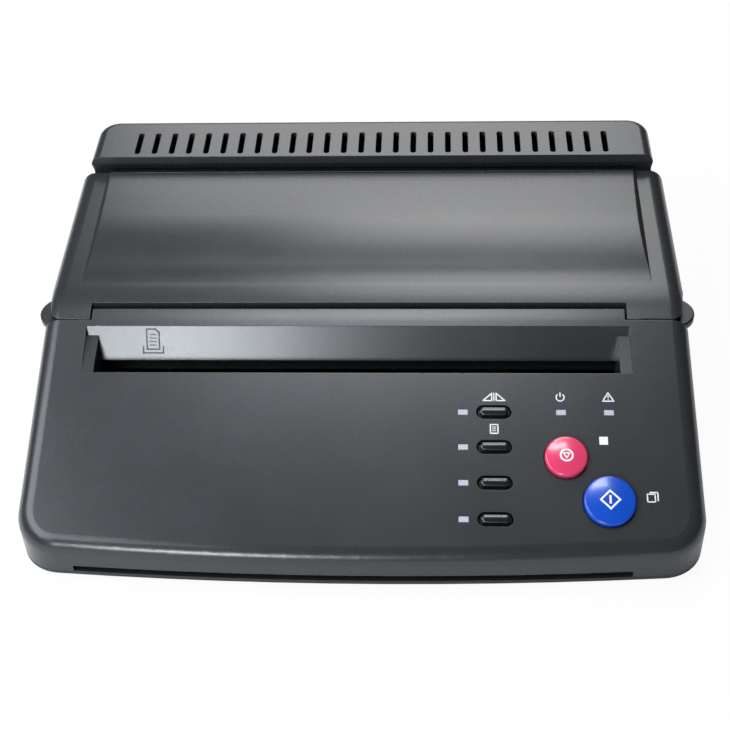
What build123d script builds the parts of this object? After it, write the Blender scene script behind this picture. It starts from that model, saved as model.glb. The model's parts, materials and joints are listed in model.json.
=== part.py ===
from build123d import *
from math import acos, atan2, cos, degrees, pi, radians, sin, sqrt, tan
import os

os.makedirs("parts", exist_ok=True)

# Thermal stencil copier. Millimetres, +Z up, front towards -Y. The origin is on the
# table, under the middle of the footprint. A size that ends in _back is a distance
# behind the middle of the front edge.

# ---------------------------------------------------------------- driving sizes
body_width = 272.6  # across the front corners
side_taper = 2.8  # each side draws in by this towards the rear
body_depth = 222.0
front_bow = 5.4  # how far the ends of the front edge lie behind its middle
front_corner_radius = 17.5
rear_corner_radius = 12.0
edge_radius = 7.5  # rounding between the top and the sides
wall = 2.5
foot_height = 2.0
floor_thickness = 3.0
floor_edge_bevel = 1.2
inner_bevel = 3.2  # inside the rounded edge, so the wall keeps its thickness
parting_gap = 0.3  # between shells that meet
slip = 0.3  # between inner pieces that only lie beside each other
running_fit = 0.05  # radial, shaft in bush

# Side profile: sloping panel, then the flatter cover
panel_front_height = 18.4
panel_slope = 21.5
kink_back = 104.5
kink_radius = 60.0
cover_slope = 4.2

# Upper cover
cheek_front_back = 96.8
cover_front_back = 104.6
cover_bottom_height = 48.3
notch_gap = 0.85  # between the notch's sides and the strip
crown_margin = 15.3  # cheek left beside the crown
crown_side_slope = 55.0
crown_hollow_radius = 50.0
crown_shoulder_radius = 126.0
crown_top_radius = 544.0
crown_steepest = 16.0
crown_shoulder_end = 3.0
rear_groove_margin = 3.0  # inside the slot's width, at each end
rear_groove_width = 0.7
rear_groove_depth = 0.5
rear_groove_setback = 3.2
hinge_setback = 8.3  # from the cover's rear edge
hinge_height = 59.5
hinge_nose_relief = 1.0
hinge_eye_radius = 4.5
hinge_pin_radius = 2.0
hinge_ear_thickness = 3.0
frame_ear_radius = 4.0

# Paper path: both papers run off the middle of the machine
path_centre_x = -2.8
slot_margin = 28.15  # from the slot's end to the body's side, on average
slot_lip_back = 73.8
slot_rear_back = 93.8
slot_wall_lean = 30.0
slot_wall_drop = 12.9
slot_ledge_width = 4.9
slot_ledge_drop = 3.6
slot_throat_height = 34.0
strip_overlap = 3.15  # beyond the slot, at each end
strip_rear_back = 101.5
exit_slot_overlap = 1.85  # beyond the slot, at each end
exit_slot_height = 3.2

# Vent rail
rail_depth = 30.9
rail_cover_gap = 1.3
rail_side_step = 7.5  # in from the body's sides
rail_height = 73.6
rail_rear_inset = 0.5
rail_corner_radius = 10.0
rail_edge_radius = 4.5
rail_lip_radius = 2.5
rail_lip_height = 4.1
rail_undercut = 3.0
rail_undercut_height = 5.0
vent_count = 28
vent_margin = 21.3  # from the end of the rail to the first vent's middle
vent_length = 16.7
vent_width = 2.5
vent_corner = 0.8
vent_front_setback = 2.4

# Controls, placed on the panel in from its right side and by distance up its slope
key_side = 82.5
key_first = 16.6
key_pitch = 15.15
key_length = 12.9
key_width = 4.7
key_rise = 1.5
key_gap = 0.6
key_travel = 0.6
lamp_key_distance = 12.5
lamp_length = 4.0
lamp_width = 2.4
status_lamp_side = (55.7, 36.6)
stop_side = 54.4
stop_up = 42.4
stop_radius = 8.5
copy_side = 38.2
copy_up = 24.0
copy_radius = 10.2
round_key_gap = 0.35
round_key_rise = 3.2
round_key_travel = 0.8
key_edge_bevel = 0.9
round_key_bevel = 0.7
dish_rim = 1.5
dish_depth = 0.5
dish_taper = 50.0
key_flange = 1.2
key_flange_thickness = 1.0
panel_board_drop = 10.0
board_thickness = 1.6
switch_side = 6.0
switch_height = 4.3

# Inner frame and rollers
frame_thickness = 1.6
frame_side_gap = 6.35  # between the slot's ends and the side frames
platen_back = 125.0
platen_height = 43.3
platen_radius = 7.0
platen_shaft_radius = 3.0
feed_back = 70.0
feed_height = 23.0
feed_radius = 8.0
feed_shaft_radius = 2.5
roller_side_gap = 7.5  # between a roller's end and the side frame
bush_wall = 1.5
bush_flange = 1.2
deck_thickness = 2.0
deck_rise = 3.6  # of the paper deck above the platen's axis
tie_half = 2.7  # half the side of a square bar
chute_slope = 7.5
chute_gap = 0.8
chute_thickness = 1.6

# Gears
tooth_module = 0.8
backlash = 0.16
gear_width = 5.0
pinion_teeth = 14
drive_teeth = 36
platen_teeth = 28
idler_a_teeth = 22
idler_b_teeth = 24
idler_c_teeth = 24
feed_teeth = 32
stud_radius = 2.0
motor_radius = 17.5
motor_length = 22.0
motor_shaft_radius = 1.5

# Thermal head and scanner bar
head_side_gap = 6.5
head_width = 17.0
head_height = 5.0
ceramic_width = 8.0
ceramic_thickness = 1.0
sensor_side_gap = 7.25
sensor_depth = 12.0
sensor_height = 15.0
glass_thickness = 0.9

# Latch
latch_back = 111.8
latch_height = 52.6
latch_shaft_radius = 2.0
latch_eye_radius = 3.2
lever_thickness = 3.0
tab_radius = 9.4
tab_reach = 2.2
tab_back = 106.4
tab_height = 49.6
tab_thickness = 3.0
latch_travel = 12.0
striker_back = 107.0
striker_height = 43.3
striker_radius = 2.0

# Rear connections
inlet_side = 48.3
inlet_width = 27.0
inlet_height = 19.6
inlet_depth = 20.0
inlet_centre_height = 24.0
rocker_side = 78.3
rocker_width = 12.8
rocker_height = 19.0
rocker_tilt = 8.0

# ---------------------------------------------------------------- derived places
half_width = body_width / 2
front_y = -body_depth / 2
back_y = body_depth / 2
slot_width = body_width - 2 * slot_margin
strip_width = slot_width + 2 * strip_overlap
notch_width = strip_width + 2 * notch_gap
exit_slot_width = slot_width + 2 * exit_slot_overlap
crown_half_width = half_width - crown_margin
rear_groove_length = slot_width - 2 * rear_groove_margin
rail_half_width = half_width - rail_side_step
vent_span = 2 * (rail_half_width - vent_margin)
key_x = half_width - key_side
lamp_x = key_x - lamp_key_distance
status_lamp_x = [half_width - side for side in status_lamp_side]
stop_x = half_width - stop_side
copy_x = half_width - copy_side
inlet_x = half_width - inlet_side
rocker_x = half_width - rocker_side
frame_spread = slot_width + 2 * frame_side_gap
roller_length = frame_spread - 2 * roller_side_gap
head_length = frame_spread - 2 * head_side_gap
sensor_length = frame_spread - 2 * sensor_side_gap
shell_bottom = foot_height + floor_thickness
slope = radians(panel_slope)
roof = radians(cover_slope)
kink_y = front_y + kink_back
kink_z = panel_front_height + kink_back * tan(slope)
above_all = rail_height + 20.0
panel = Plane(
    origin=(0, front_y, panel_front_height),
    x_dir=(1, 0, 0),
    z_dir=(0, -sin(slope), cos(slope)),
)
panel_axis = Axis(panel.origin, panel.z_dir)
cheek_front_y = front_y + cheek_front_back
cover_front_y = front_y + cover_front_back
rail_back_y = back_y - rail_rear_inset
rail_front_y = rail_back_y - rail_depth
cover_rear_y = rail_front_y - rail_cover_gap
hinge = (cover_rear_y - hinge_setback, hinge_height)
hinge_nose_radius = hinge_height - cover_bottom_height - hinge_nose_relief
deck_top = platen_height + deck_rise
guide_radius = hinge_height - deck_top  # of the curl that leads the stencil in
shelf_top = cover_bottom_height - parting_gap
slot_left = path_centre_x - slot_width / 2
slot_right = path_centre_x + slot_width / 2
slot_lip_y = front_y + slot_lip_back
slot_rear_y = front_y + slot_rear_back
strip_rear_y = front_y + strip_rear_back
frame_inner = frame_spread / 2
frame_left = path_centre_x - frame_inner
frame_right = path_centre_x + frame_inner
platen = (front_y + platen_back, platen_height)
feed = (front_y + feed_back, feed_height)
latch = (front_y + latch_back, latch_height)
striker = (front_y + striker_back, striker_height)
key_rows = [key_first + row * key_pitch for row in range(4)]


def panel_z(y):
    """Height of the panel's plane at a place y."""
    return panel_front_height + (y - front_y) * tan(slope)


def roof_z(y):
    """Height of the cover's cheeks at a place y behind the kink."""
    return kink_z + (y - kink_y) * tan(roof)


# ---------------------------------------------------------------- shared shapes
def block(x, y, z, mode=Mode.ADD):
    """A block between two x, two y and two z values."""
    with Locations(((x[0] + x[1]) / 2, (y[0] + y[1]) / 2, (z[0] + z[1]) / 2)):
        Box(x[1] - x[0], y[1] - y[0], z[1] - z[0], mode=mode)


def rod(x, centre, radius, mode=Mode.ADD):
    """A round bar along X between two x values, about a centre (y, z)."""
    with Locations(Location(((x[0] + x[1]) / 2, centre[0], centre[1]), (0, 90, 0))):
        Cylinder(radius, x[1] - x[0], mode=mode)


def slab(points, x, mode=Mode.ADD):
    """A side-view outline of (y, z) points, carried from one x to the other."""
    with BuildSketch(Plane.YZ.offset(x[0])) as outline:
        Polygon(*points, align=None)
    extrude(outline.sketch, amount=x[1] - x[0], mode=mode)


def mirrored(x_range, side):
    """An x range measured out from the middle of the paper path, on one side of it."""
    return sorted((path_centre_x + side * x_range[0], path_centre_x + side * x_range[1]))


def footprint(inset, height):
    """The plan outline at a height: bowed front, rounded corners, drawn in by inset."""
    with BuildSketch(Plane.XY.offset(height)) as plan:
        with BuildLine():
            bow = ThreePointArc(
                (-half_width, front_y + front_bow), (0, front_y), (half_width, front_y + front_bow)
            )
            rear_half = half_width - side_taper
            Polyline(bow @ 1, (rear_half, back_y), (-rear_half, back_y), bow @ 0)
        make_face()
        fillet(plan.vertices().sort_by(Axis.Y)[:2], front_corner_radius)
        fillet(plan.vertices().sort_by(Axis.Y)[-2:], rear_corner_radius)
        if inset:
            offset(amount=-inset)
    return plan.sketch


def envelope(inset, bottom):
    """The closed machine without its rail: footprint, side profile and soft edges."""
    with BuildPart() as form:
        extrude(footprint(inset, bottom), amount=above_all - bottom)
        with BuildSketch(Plane.YZ):
            with BuildLine():
                ahead = front_y - body_depth
                behind = back_y + body_depth
                top = FilletPolyline(
                    (ahead, panel_z(ahead)), (kink_y, kink_z), (behind, roof_z(behind)),
                    radius=kink_radius,
                )
                deep = panel_z(ahead) - body_depth
                Polyline(top @ 1, (behind, deep), (ahead, deep), top @ 0)
            make_face()
            if inset:
                offset(amount=-inset)
        extrude(amount=body_width, both=True, mode=Mode.INTERSECT)
        tops = form.faces().filter_by(lambda face: face.normal_at().Z > 0.5)
        sides = form.faces().filter_by(lambda face: abs(face.normal_at().Z) < 0.01)
        if inset:
            chamfer(tops.edges() & sides.edges(), inner_bevel)
        else:
            fillet(tops.edges() & sides.edges(), edge_radius)
    return form.part


def crown(inset):
    """The raised middle of the cover, with its sloping ends."""
    tangent = kink_radius * tan((slope - roof) / 2)
    start_y = kink_y + tangent + wall
    steep = radians(crown_steepest)
    shoulder = radians(crown_shoulder_end)
    with BuildPart() as form:
        looking_forward = Plane(
            origin=(0, kink_y, kink_z), x_dir=(1, 0, 0), z_dir=(0, -cos(roof), -sin(roof))
        )
        rise = 4 * wall
        lean = rise / tan(radians(crown_side_slope))
        half = crown_half_width - inset
        with BuildSketch(looking_forward):
            Polygon(
                (-half, -rise), (half, -rise), (half, 0), (half - lean, rise),
                (lean - half, rise), (-half, 0), align=None,
            )
        extrude(amount=-body_depth)
        with BuildSketch(Plane.YZ):
            with BuildLine():
                foot = Line((start_y - wall, roof_z(start_y - wall)), (start_y, roof_z(start_y)))
                hollow = JernArc(
                    foot @ 1, foot % 1, crown_hollow_radius, degrees(steep - roof)
                )
                bend = JernArc(
                    hollow @ 1, hollow % 1, crown_shoulder_radius, -degrees(steep - shoulder)
                )
                rest = JernArc(bend @ 1, bend % 1, crown_top_radius, -2 * crown_shoulder_end)
                Polyline(
                    rest @ 1, (back_y, kink_z - body_depth), (start_y - wall, kink_z - body_depth), foot @ 0
                )
            make_face()
            if inset:
                offset(amount=-inset)
        extrude(amount=body_width, both=True, mode=Mode.INTERSECT)
    return form.part


def notch(inset):
    """The space in the cover's front edge that the housing's strip fills."""
    half = notch_width / 2 + inset
    with BuildPart() as form:
        block(
            (path_centre_x - half, path_centre_x + half),
            (front_y, cover_front_y + inset),
            (0, above_all),
        )
    return form.part


def cover_form(inset, bottom):
    """The cover's outer form, or its cavity where inset is the wall."""
    with BuildPart() as form:
        add(envelope(inset, bottom))
        add(crown(inset))
        with BuildSketch(Plane.YZ):
            front = cheek_front_y + inset
            rear = cover_rear_y - inset
            with BuildLine():
                Polyline((front, above_all), (front, bottom), (hinge[0], bottom), (hinge[0], above_all))
                Line((hinge[0], above_all), (front, above_all))
            make_face()
            with Locations(hinge):
                Circle(hinge_nose_radius - inset)
            with Locations(((front + rear) / 2, above_all / 2)):
                Rectangle(rear - front, above_all, mode=Mode.INTERSECT)
        extrude(amount=body_width, both=True, mode=Mode.INTERSECT)
        add(notch(inset), mode=Mode.SUBTRACT)
    return form.part


# ---------------------------------------------------------------- base tray and feet
foot_radius = 7.5
foot_recess = 0.6
foot_inset_x = 24.0
foot_inset_y = 26.0
foot_spots = [
    (side * (half_width - foot_inset_x), end * (body_depth / 2 - foot_inset_y))
    for side in (-1, 1)
    for end in (-1, 1)
]
intake_count = (12, 2)
intake_pitch = (12.0, 100.0)
intake_length = 26.0
intake_width = 3.0
rim_rise = 4.0
rim_gap = 0.2
rim_width = 1.8
rim_top = shell_bottom + rim_rise
exit_left = path_centre_x - exit_slot_width / 2
exit_right = path_centre_x + exit_slot_width / 2
main_board_x = (frame_left + 13.3, frame_right - 49.7)
main_board_y = (front_y + 98.0, hinge[0] - 13.0)
power_board_x = (frame_left + 17.3, frame_right - 85.7)
power_board_y = (back_y - 26.0, back_y - 6.0)
board_height = shell_bottom + 6.0
post_radius = 3.0
post_inset = 5.0


def board_posts(x, y):
    """The four corners where a board stands on its posts."""
    return [
        (column, row, (shell_bottom + board_height) / 2)
        for column in (x[0] + post_inset, x[1] - post_inset)
        for row in (y[0] + post_inset, y[1] - post_inset)
    ]


with BuildPart() as base_tray:
    extrude(footprint(0, foot_height), amount=floor_thickness)
    chamfer(base_tray.faces().sort_by(Axis.Z)[0].edges(), floor_edge_bevel)
    extrude(footprint(wall + rim_gap, shell_bottom), amount=rim_top - shell_bottom)
    extrude(
        footprint(wall + rim_gap + rim_width, shell_bottom),
        amount=rim_top - shell_bottom,
        mode=Mode.SUBTRACT,
    )
    block(
        (exit_left - 1, exit_right + 1), (front_y, front_y + 20), (shell_bottom, rim_top + 1),
        mode=Mode.SUBTRACT,
    )
    for board_x, board_y in ((main_board_x, main_board_y), (power_board_x, power_board_y)):
        with Locations(*board_posts(board_x, board_y)):
            Box(2 * post_radius, 2 * post_radius, board_height - shell_bottom)
    with BuildSketch(Plane.XY.offset(foot_height)):
        with Locations(*foot_spots):
            Circle(foot_radius + running_fit)
    extrude(amount=foot_recess, mode=Mode.SUBTRACT)
    with BuildSketch(Plane.XY.offset(foot_height)):
        with GridLocations(*intake_pitch, *intake_count):
            Rectangle(intake_width, intake_length)
    extrude(amount=floor_thickness, mode=Mode.SUBTRACT)

with BuildPart() as rubber_feet:
    with BuildSketch():
        with Locations(*foot_spots):
            Circle(foot_radius)
    extrude(amount=foot_height + foot_recess)

# ---------------------------------------------------------------- main housing
ledge_left = slot_left - slot_ledge_width
ledge_right = slot_right + slot_ledge_width
tub_wall = 2.5
tub_bottom = slot_throat_height
slot_rear_z = panel_z(slot_rear_y)
lean_run = slot_wall_drop * tan(radians(slot_wall_lean))
slot_wall_foot = (slot_rear_y - lean_run, slot_rear_z - slot_wall_drop)
strip_left = path_centre_x - strip_width / 2
strip_right = path_centre_x + strip_width / 2
shelf_thickness = 2.5
strip_wall = 2.2
lever_clear = 0.6
throat_rear_gap = 4.1  # flat at the foot of the slot's leaning wall
throat_lip = 0.8
board_margin = (10.0, 2.5)  # left of the lamps, right of the copy key
lever_in = frame_inner + frame_thickness + 1.2
lever_out = lever_in + lever_thickness
gear_in = frame_inner + frame_thickness + 1.7
gear_out = gear_in + gear_width
outer_gear_in = gear_out + 1.0
outer_gear_out = outer_gear_in + gear_width
shaft_end = 2.5  # beyond the side frame, on the plain side
platen_bush_clear = platen_shaft_radius + bush_wall + bush_flange + slip
platen_tip = tooth_module * (platen_teeth / 2 + 1)
status_up = key_rows[3]

board_left = lamp_x - board_margin[0]
board_right = copy_x + copy_radius + board_margin[1]
board_low = 8.0
board_high = status_up + 4.0
board_middle = ((board_left + board_right) / 2, (board_low + board_high) / 2)
board_size = (board_right - board_left, board_high - board_low)
board_corners = [
    (x, up)
    for x in (board_left + post_radius, board_right - post_radius)
    for up in (board_low + post_radius, board_high - post_radius)
]

# bulkhead under the cheeks' front edge, shelf under the cover, wall behind the strip
# and the tub round the document slot
bulkhead_y = (cheek_front_y - parting_gap - wall, cheek_front_y - parting_gap)
shelf_bottom = shelf_top - shelf_thickness
with BuildPart() as inner_walls:
    block((-half_width, half_width), bulkhead_y, (shelf_bottom, above_all))
    block((-half_width, half_width), (bulkhead_y[0], back_y), (shelf_bottom, shelf_top))
    block((strip_left, strip_right), (strip_rear_y - strip_wall, strip_rear_y), (shelf_bottom, above_all))
    block(
        (ledge_left - tub_wall, ledge_right + tub_wall),
        (slot_lip_y - tub_wall, slot_rear_y + tub_wall),
        (tub_bottom, above_all),
    )
    add(envelope(wall / 2, shell_bottom - 1), mode=Mode.INTERSECT)

with BuildPart() as cover_space:
    block((-half_width - 1, half_width + 1), (bulkhead_y[1], back_y + 1), (shelf_top, above_all))
    block((strip_left, strip_right), (front_y, strip_rear_y), (0, above_all), mode=Mode.SUBTRACT)

with BuildPart() as main_housing:
    add(envelope(0, shell_bottom))
    add(envelope(wall, shell_bottom - 1), mode=Mode.SUBTRACT)
    add(inner_walls.part)
    add(cover_space.part, mode=Mode.SUBTRACT)
    # mouth of the document slot: ramps at both ends, leaning rear wall, open throat
    slab(
        [
            (slot_lip_y, panel_z(slot_lip_y)),
            (slot_rear_y - slot_ledge_drop * tan(radians(slot_wall_lean)), slot_rear_z - slot_ledge_drop),
            (slot_rear_y, slot_rear_z),
            (slot_rear_y, above_all),
            (slot_lip_y, above_all),
        ],
        (ledge_left, ledge_right), mode=Mode.SUBTRACT,
    )
    slab(
        [
            (slot_lip_y, above_all),
            (slot_rear_y, above_all),
            (slot_rear_y, slot_rear_z),
            slot_wall_foot,
            (slot_wall_foot[0] + throat_rear_gap, slot_wall_foot[1]),
            (slot_wall_foot[0] + throat_rear_gap, tub_bottom),
            (slot_lip_y + throat_lip, tub_bottom),
            (slot_lip_y, panel_z(slot_lip_y) - 3 * wall),
        ],
        (slot_left, slot_right), mode=Mode.SUBTRACT,
    )
    # opening for the deck between the side frames
    block(
        (frame_left - frame_thickness - slip, frame_right + frame_thickness + slip),
        (strip_rear_y, back_y - wall), (shelf_bottom, shelf_top), mode=Mode.SUBTRACT,
    )
    # openings in the shelf for the latch levers and the platen's gear
    for side in (-1, 1):
        block(
            mirrored((lever_in - lever_clear, lever_out + lever_clear), side),
            (cheek_front_y, latch[0] + 4), (shelf_bottom, shelf_top), mode=Mode.SUBTRACT,
        )
        block(
            mirrored((frame_inner, frame_inner + frame_thickness + shaft_end + lever_clear), side),
            (platen[0] - platen_bush_clear, platen[0] + platen_bush_clear), (shelf_bottom, shelf_top),
            mode=Mode.SUBTRACT,
        )
    block(
        mirrored((gear_in - lever_clear, gear_out + lever_clear), 1),
        (platen[0] - platen_tip - 1, platen[0] + platen_tip + 1), (shelf_bottom, shelf_top),
        mode=Mode.SUBTRACT,
    )
    # exit slot along the bottom of the front wall
    block(
        (exit_left, exit_right), (front_y - 1, front_y + 15), (shell_bottom, shell_bottom + exit_slot_height),
        mode=Mode.SUBTRACT,
    )
    # openings for keys and lamps, square to the panel
    with BuildSketch(panel):
        with Locations(*[(key_x, up) for up in key_rows]):
            SlotOverall(key_length + 2 * key_gap, key_width + 2 * key_gap)
        with Locations(*[(lamp_x, up) for up in key_rows], *[(x, status_up) for x in status_lamp_x]):
            Rectangle(lamp_length, lamp_width)
        with Locations((stop_x, stop_up)):
            Circle(stop_radius + round_key_gap)
        with Locations((copy_x, copy_up)):
            Circle(copy_radius + round_key_gap)
    extrude(amount=-1.2 * wall, mode=Mode.SUBTRACT)
    # openings for the mains inlet and the switch in the back wall
    with BuildSketch(Plane.XZ.offset(-back_y)):
        with Locations((inlet_x, inlet_centre_height)):
            Rectangle(inlet_width + 2 * running_fit, inlet_height + 2 * running_fit)
        with Locations((rocker_x, inlet_centre_height)):
            Rectangle(rocker_width + 2 * running_fit, rocker_height + 2 * running_fit)
    extrude(amount=1.5 * wall, mode=Mode.SUBTRACT)
    # posts that carry the panel board
    with BuildSketch(panel.offset(-panel_board_drop)):
        with Locations(*board_corners):
            Rectangle(2 * post_radius, 2 * post_radius)
    extrude(amount=panel_board_drop - wall / 2)

with BuildPart() as panel_board:
    with BuildSketch(panel.offset(-panel_board_drop)):
        with Locations(board_middle):
            RectangleRounded(*board_size, 2)
    extrude(amount=-board_thickness)

with BuildPart() as panel_switches:
    with BuildSketch(panel.offset(-panel_board_drop)):
        with Locations(*[(key_x, up) for up in key_rows], (stop_x, stop_up), (copy_x, copy_up)):
            Rectangle(switch_side, switch_side)
    extrude(amount=switch_height)

# ---------------------------------------------------------------- vent rail
rail_wall_y = rail_front_y + rail_undercut
rail_inner_bevel = 2.0
rail_undercut_top = rail_height - rail_lip_height
rail_front_bottom = hinge_height + 0.5

with BuildPart() as rail_cavity:
    block(
        (wall - rail_half_width, rail_half_width - wall), (rail_wall_y + wall, rail_back_y - wall),
        (shelf_top, rail_height - wall),
    )
    fillet(rail_cavity.edges().filter_by(Axis.Z).group_by(Axis.Y)[-1], rail_corner_radius - wall)
    chamfer(rail_cavity.faces().sort_by(Axis.Z)[-1].edges(), rail_inner_bevel)

with BuildPart() as vent_rail:
    with BuildSketch(Plane.XY.offset(shelf_top)) as rail_plan:
        with Locations((0, (rail_front_y + rail_back_y) / 2)):
            Rectangle(2 * rail_half_width, rail_back_y - rail_front_y)
        fillet(rail_plan.vertices().group_by(Axis.Y)[-1], rail_corner_radius)
    extrude(amount=rail_height - shelf_top)
    top_edges = vent_rail.faces().sort_by(Axis.Z)[-1].edges()
    fillet(top_edges - top_edges.group_by(Axis.Y)[0], rail_edge_radius)
    add(rail_cavity.part, mode=Mode.SUBTRACT)
    slab(
        [
            (rail_front_y - 1, rail_undercut_top),
            (rail_front_y, rail_undercut_top),
            (rail_wall_y, rail_undercut_top - rail_undercut_height),
            (rail_wall_y, shelf_top - 1),
            (rail_front_y - 1, shelf_top - 1),
        ],
        (-half_width, half_width), mode=Mode.SUBTRACT,
    )
    # the lip curls under
    lip_edges = vent_rail.edges().filter_by(Axis.X).filter_by(
        lambda edge: abs(edge.center().Y - rail_front_y) < 0.01 and edge.center().Z < rail_height - 1
    )
    fillet(lip_edges, rail_lip_radius)
    block(
        (frame_left - frame_thickness - slip, frame_right + frame_thickness + slip),
        (rail_front_y, rail_wall_y + wall + 1), (shelf_top, rail_front_bottom), mode=Mode.SUBTRACT,
    )
    vent_y = rail_front_y + vent_front_setback + vent_length / 2
    with BuildSketch(Plane.XY.offset(rail_height)) as vents:
        with Locations((0, vent_y)):
            with GridLocations(vent_span / (vent_count - 1), 1, vent_count, 1):
                Rectangle(vent_width, vent_length)
        chamfer(vents.vertices(), vent_corner)
    extrude(amount=-2 * wall, mode=Mode.SUBTRACT)

# ---------------------------------------------------------------- upper cover
ear_inner = (frame_inner - slip - hinge_ear_thickness, frame_inner - slip)
ear_outer = (
    frame_inner + frame_thickness + slip,
    frame_inner + frame_thickness + slip + hinge_ear_thickness,
)
rib_count = 8
rib_spread = slot_width - 26.3
rib_thickness = 1.4
rib_front_y = front_y + 139.0
rib_rear_y = hinge[0] - 7.0
rib_bottom = deck_top + 4.6
head_lift = 0.3  # between the ceramic and the platen
ceramic_bottom = platen_height + platen_radius + head_lift
head_bottom = ceramic_bottom + ceramic_thickness
head_top = head_bottom + head_height
spring_radius = 2.6
spring_pocket = 2.6
spring_boss_bottom = head_top + 1.4
spring_spots = [(path_centre_x + offset_x, platen[0]) for offset_x in (-70, 0, 70)]
tongue_width = 5.0
tab_swing = (cover_front_back - cheek_front_back + tab_radius) * sin(radians(latch_travel))


# hinge ears, latch and head brackets, spring bosses and guide ribs under the roof
with BuildPart() as hangers:
    for side in (-1, 1):
        for ear in (ear_inner, ear_outer):
            ear_x = mirrored(ear, side)
            rod(ear_x, hinge, hinge_eye_radius)
            block(
                ear_x, (hinge[0] - hinge_eye_radius, hinge[0] + hinge_eye_radius),
                (hinge_height, rail_height),
            )
        block(
            mirrored(ear_inner, side), (latch[0] - latch_eye_radius, platen[0] + head_width / 2),
            (latch_height - latch_eye_radius, rail_height),
        )
    for spot in spring_spots:
        with Locations((spot[0], spot[1], (spring_boss_bottom + rail_height) / 2)):
            Box(2 * spring_radius, 2 * spring_radius, rail_height - spring_boss_bottom)
    for rib in range(rib_count):
        rib_x = path_centre_x + (rib / (rib_count - 1) - 0.5) * rib_spread
        block(
            (rib_x - rib_thickness / 2, rib_x + rib_thickness / 2), (rib_front_y, rib_rear_y),
            (rib_bottom, rail_height),
        )
    add(cover_form(wall / 2, cover_bottom_height), mode=Mode.INTERSECT)

# groove along the rear edge that marks the widest sheet, with a pit at each end
with BuildPart() as groove:
    add(crown(0))
    add(crown(rear_groove_depth), mode=Mode.SUBTRACT)
    with BuildSketch(Plane.XY) as groove_plan:
        with Locations((path_centre_x, cover_rear_y - rear_groove_setback)):
            Rectangle(rear_groove_length, rear_groove_width)
            with GridLocations(rear_groove_length, 1, 2, 1):
                Rectangle(2 * rear_groove_width, 2 * rear_groove_width)
    extrude(groove_plan.sketch, amount=above_all, mode=Mode.INTERSECT)

with BuildPart() as top_cover:
    add(cover_form(0, cover_bottom_height))
    add(cover_form(wall, cover_bottom_height - 5), mode=Mode.SUBTRACT)
    # rear wall stops above the guide, so the stencil can slide in under it
    block(
        mirrored((-frame_inner - frame_thickness - slip, frame_inner + frame_thickness + slip), 1),
        (hinge[0] - 1, cover_rear_y + 1), (cover_bottom_height - 1, hinge_height - 5),
        mode=Mode.SUBTRACT,
    )
    add(hangers.part)
    add(groove.part, mode=Mode.SUBTRACT)
    for side in (-1, 1):
        all_ears = mirrored((ear_inner[0] - 1, ear_outer[1] + 1), side)
        rod(all_ears, hinge, hinge_pin_radius + running_fit, mode=Mode.SUBTRACT)
        rod(all_ears, latch, latch_shaft_radius + running_fit, mode=Mode.SUBTRACT)
        block(
            mirrored(ear_inner, side),
            (platen[0] - tongue_width / 2 - slip, platen[0] + tongue_width / 2 + slip),
            (head_bottom, head_top + slip), mode=Mode.SUBTRACT,
        )
        # pocket in the roof and slot in the rear wall for the side frame's hinge ear
        rod(
            mirrored((frame_inner - slip, frame_inner + frame_thickness + slip), side),
            hinge, frame_ear_radius + slip, mode=Mode.SUBTRACT,
        )
        block(
            mirrored((frame_inner - slip, frame_inner + frame_thickness + slip), side),
            (hinge[0] + 1, cover_rear_y + 1), (cover_bottom_height - 1, hinge_height + 3),
            mode=Mode.SUBTRACT,
        )
        # cut-out that the thumb tab comes through, with room for its travel
        block(
            mirrored((lever_in - slip, half_width + tab_radius), side),
            (cheek_front_y - 1, front_y + tab_back + tab_radius + slip),
            (cover_bottom_height - 1, tab_height + tab_thickness + tab_swing + slip),
            mode=Mode.SUBTRACT,
        )

hinge_pins = {}
for side, name in ((-1, "hinge_pin_left"), (1, "hinge_pin_right")):
    with BuildPart() as hinge_pin:
        pin_x = mirrored((ear_inner[0] - 0.5, ear_outer[1] + 0.5), side)
        rod(pin_x, hinge, hinge_pin_radius)
    hinge_pins[name] = hinge_pin

# ---------------------------------------------------------------- latch
latch_end = lever_out + 1.0
lever_arm = 3.2

with BuildPart() as latch_shaft:
    rod(mirrored((-latch_end, latch_end), 1), latch, latch_shaft_radius)

levers = {}
for side, name in ((-1, "latch_lever_left"), (1, "latch_lever_right")):
    lever_x = mirrored((lever_in, lever_out), side)
    arm_rear = striker[0] - striker_radius - slip
    arm_front = arm_rear - lever_arm
    root_x = lever_x[1] if side > 0 else lever_x[0]
    tab_x = side * (half_width + tab_reach - tab_radius)
    with BuildPart() as lever:
        # half-moon thumb tab on the plate that carries it
        with BuildSketch(Plane.XY.offset(tab_height)):
            with Locations((tab_x, front_y + tab_back)):
                Circle(tab_radius)
            with Locations(((root_x + tab_x) / 2, front_y + tab_back - 1)):
                Rectangle(abs(tab_x - root_x) + lever_thickness, 1.3 * tab_radius)
        extrude(amount=tab_thickness)
        chamfer(lever.edges().group_by(Axis.Z)[-1].filter_by(GeomType.CIRCLE), 0.6)
        # hanging arm with its hooked nose
        slab(
            [
                (arm_front, striker_height - 5.0),
                (arm_rear - 0.6, striker_height - 5.0),
                (arm_rear, striker_height - 3.0),
                (arm_rear - 0.8, striker_height + 1.0),
                (arm_rear - 0.8, latch_height - 4.0),
                (latch[0], latch_height - latch_eye_radius),
                (latch[0], latch_height + 0.4),
                (arm_front, latch_height + 0.2),
            ],
            lever_x,
        )
        rod(lever_x, latch, latch_eye_radius)
        rod(
            mirrored((lever_in - 1, lever_out + lever_thickness), side), latch,
            latch_shaft_radius + running_fit, mode=Mode.SUBTRACT,
        )
    levers[name] = lever

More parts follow.
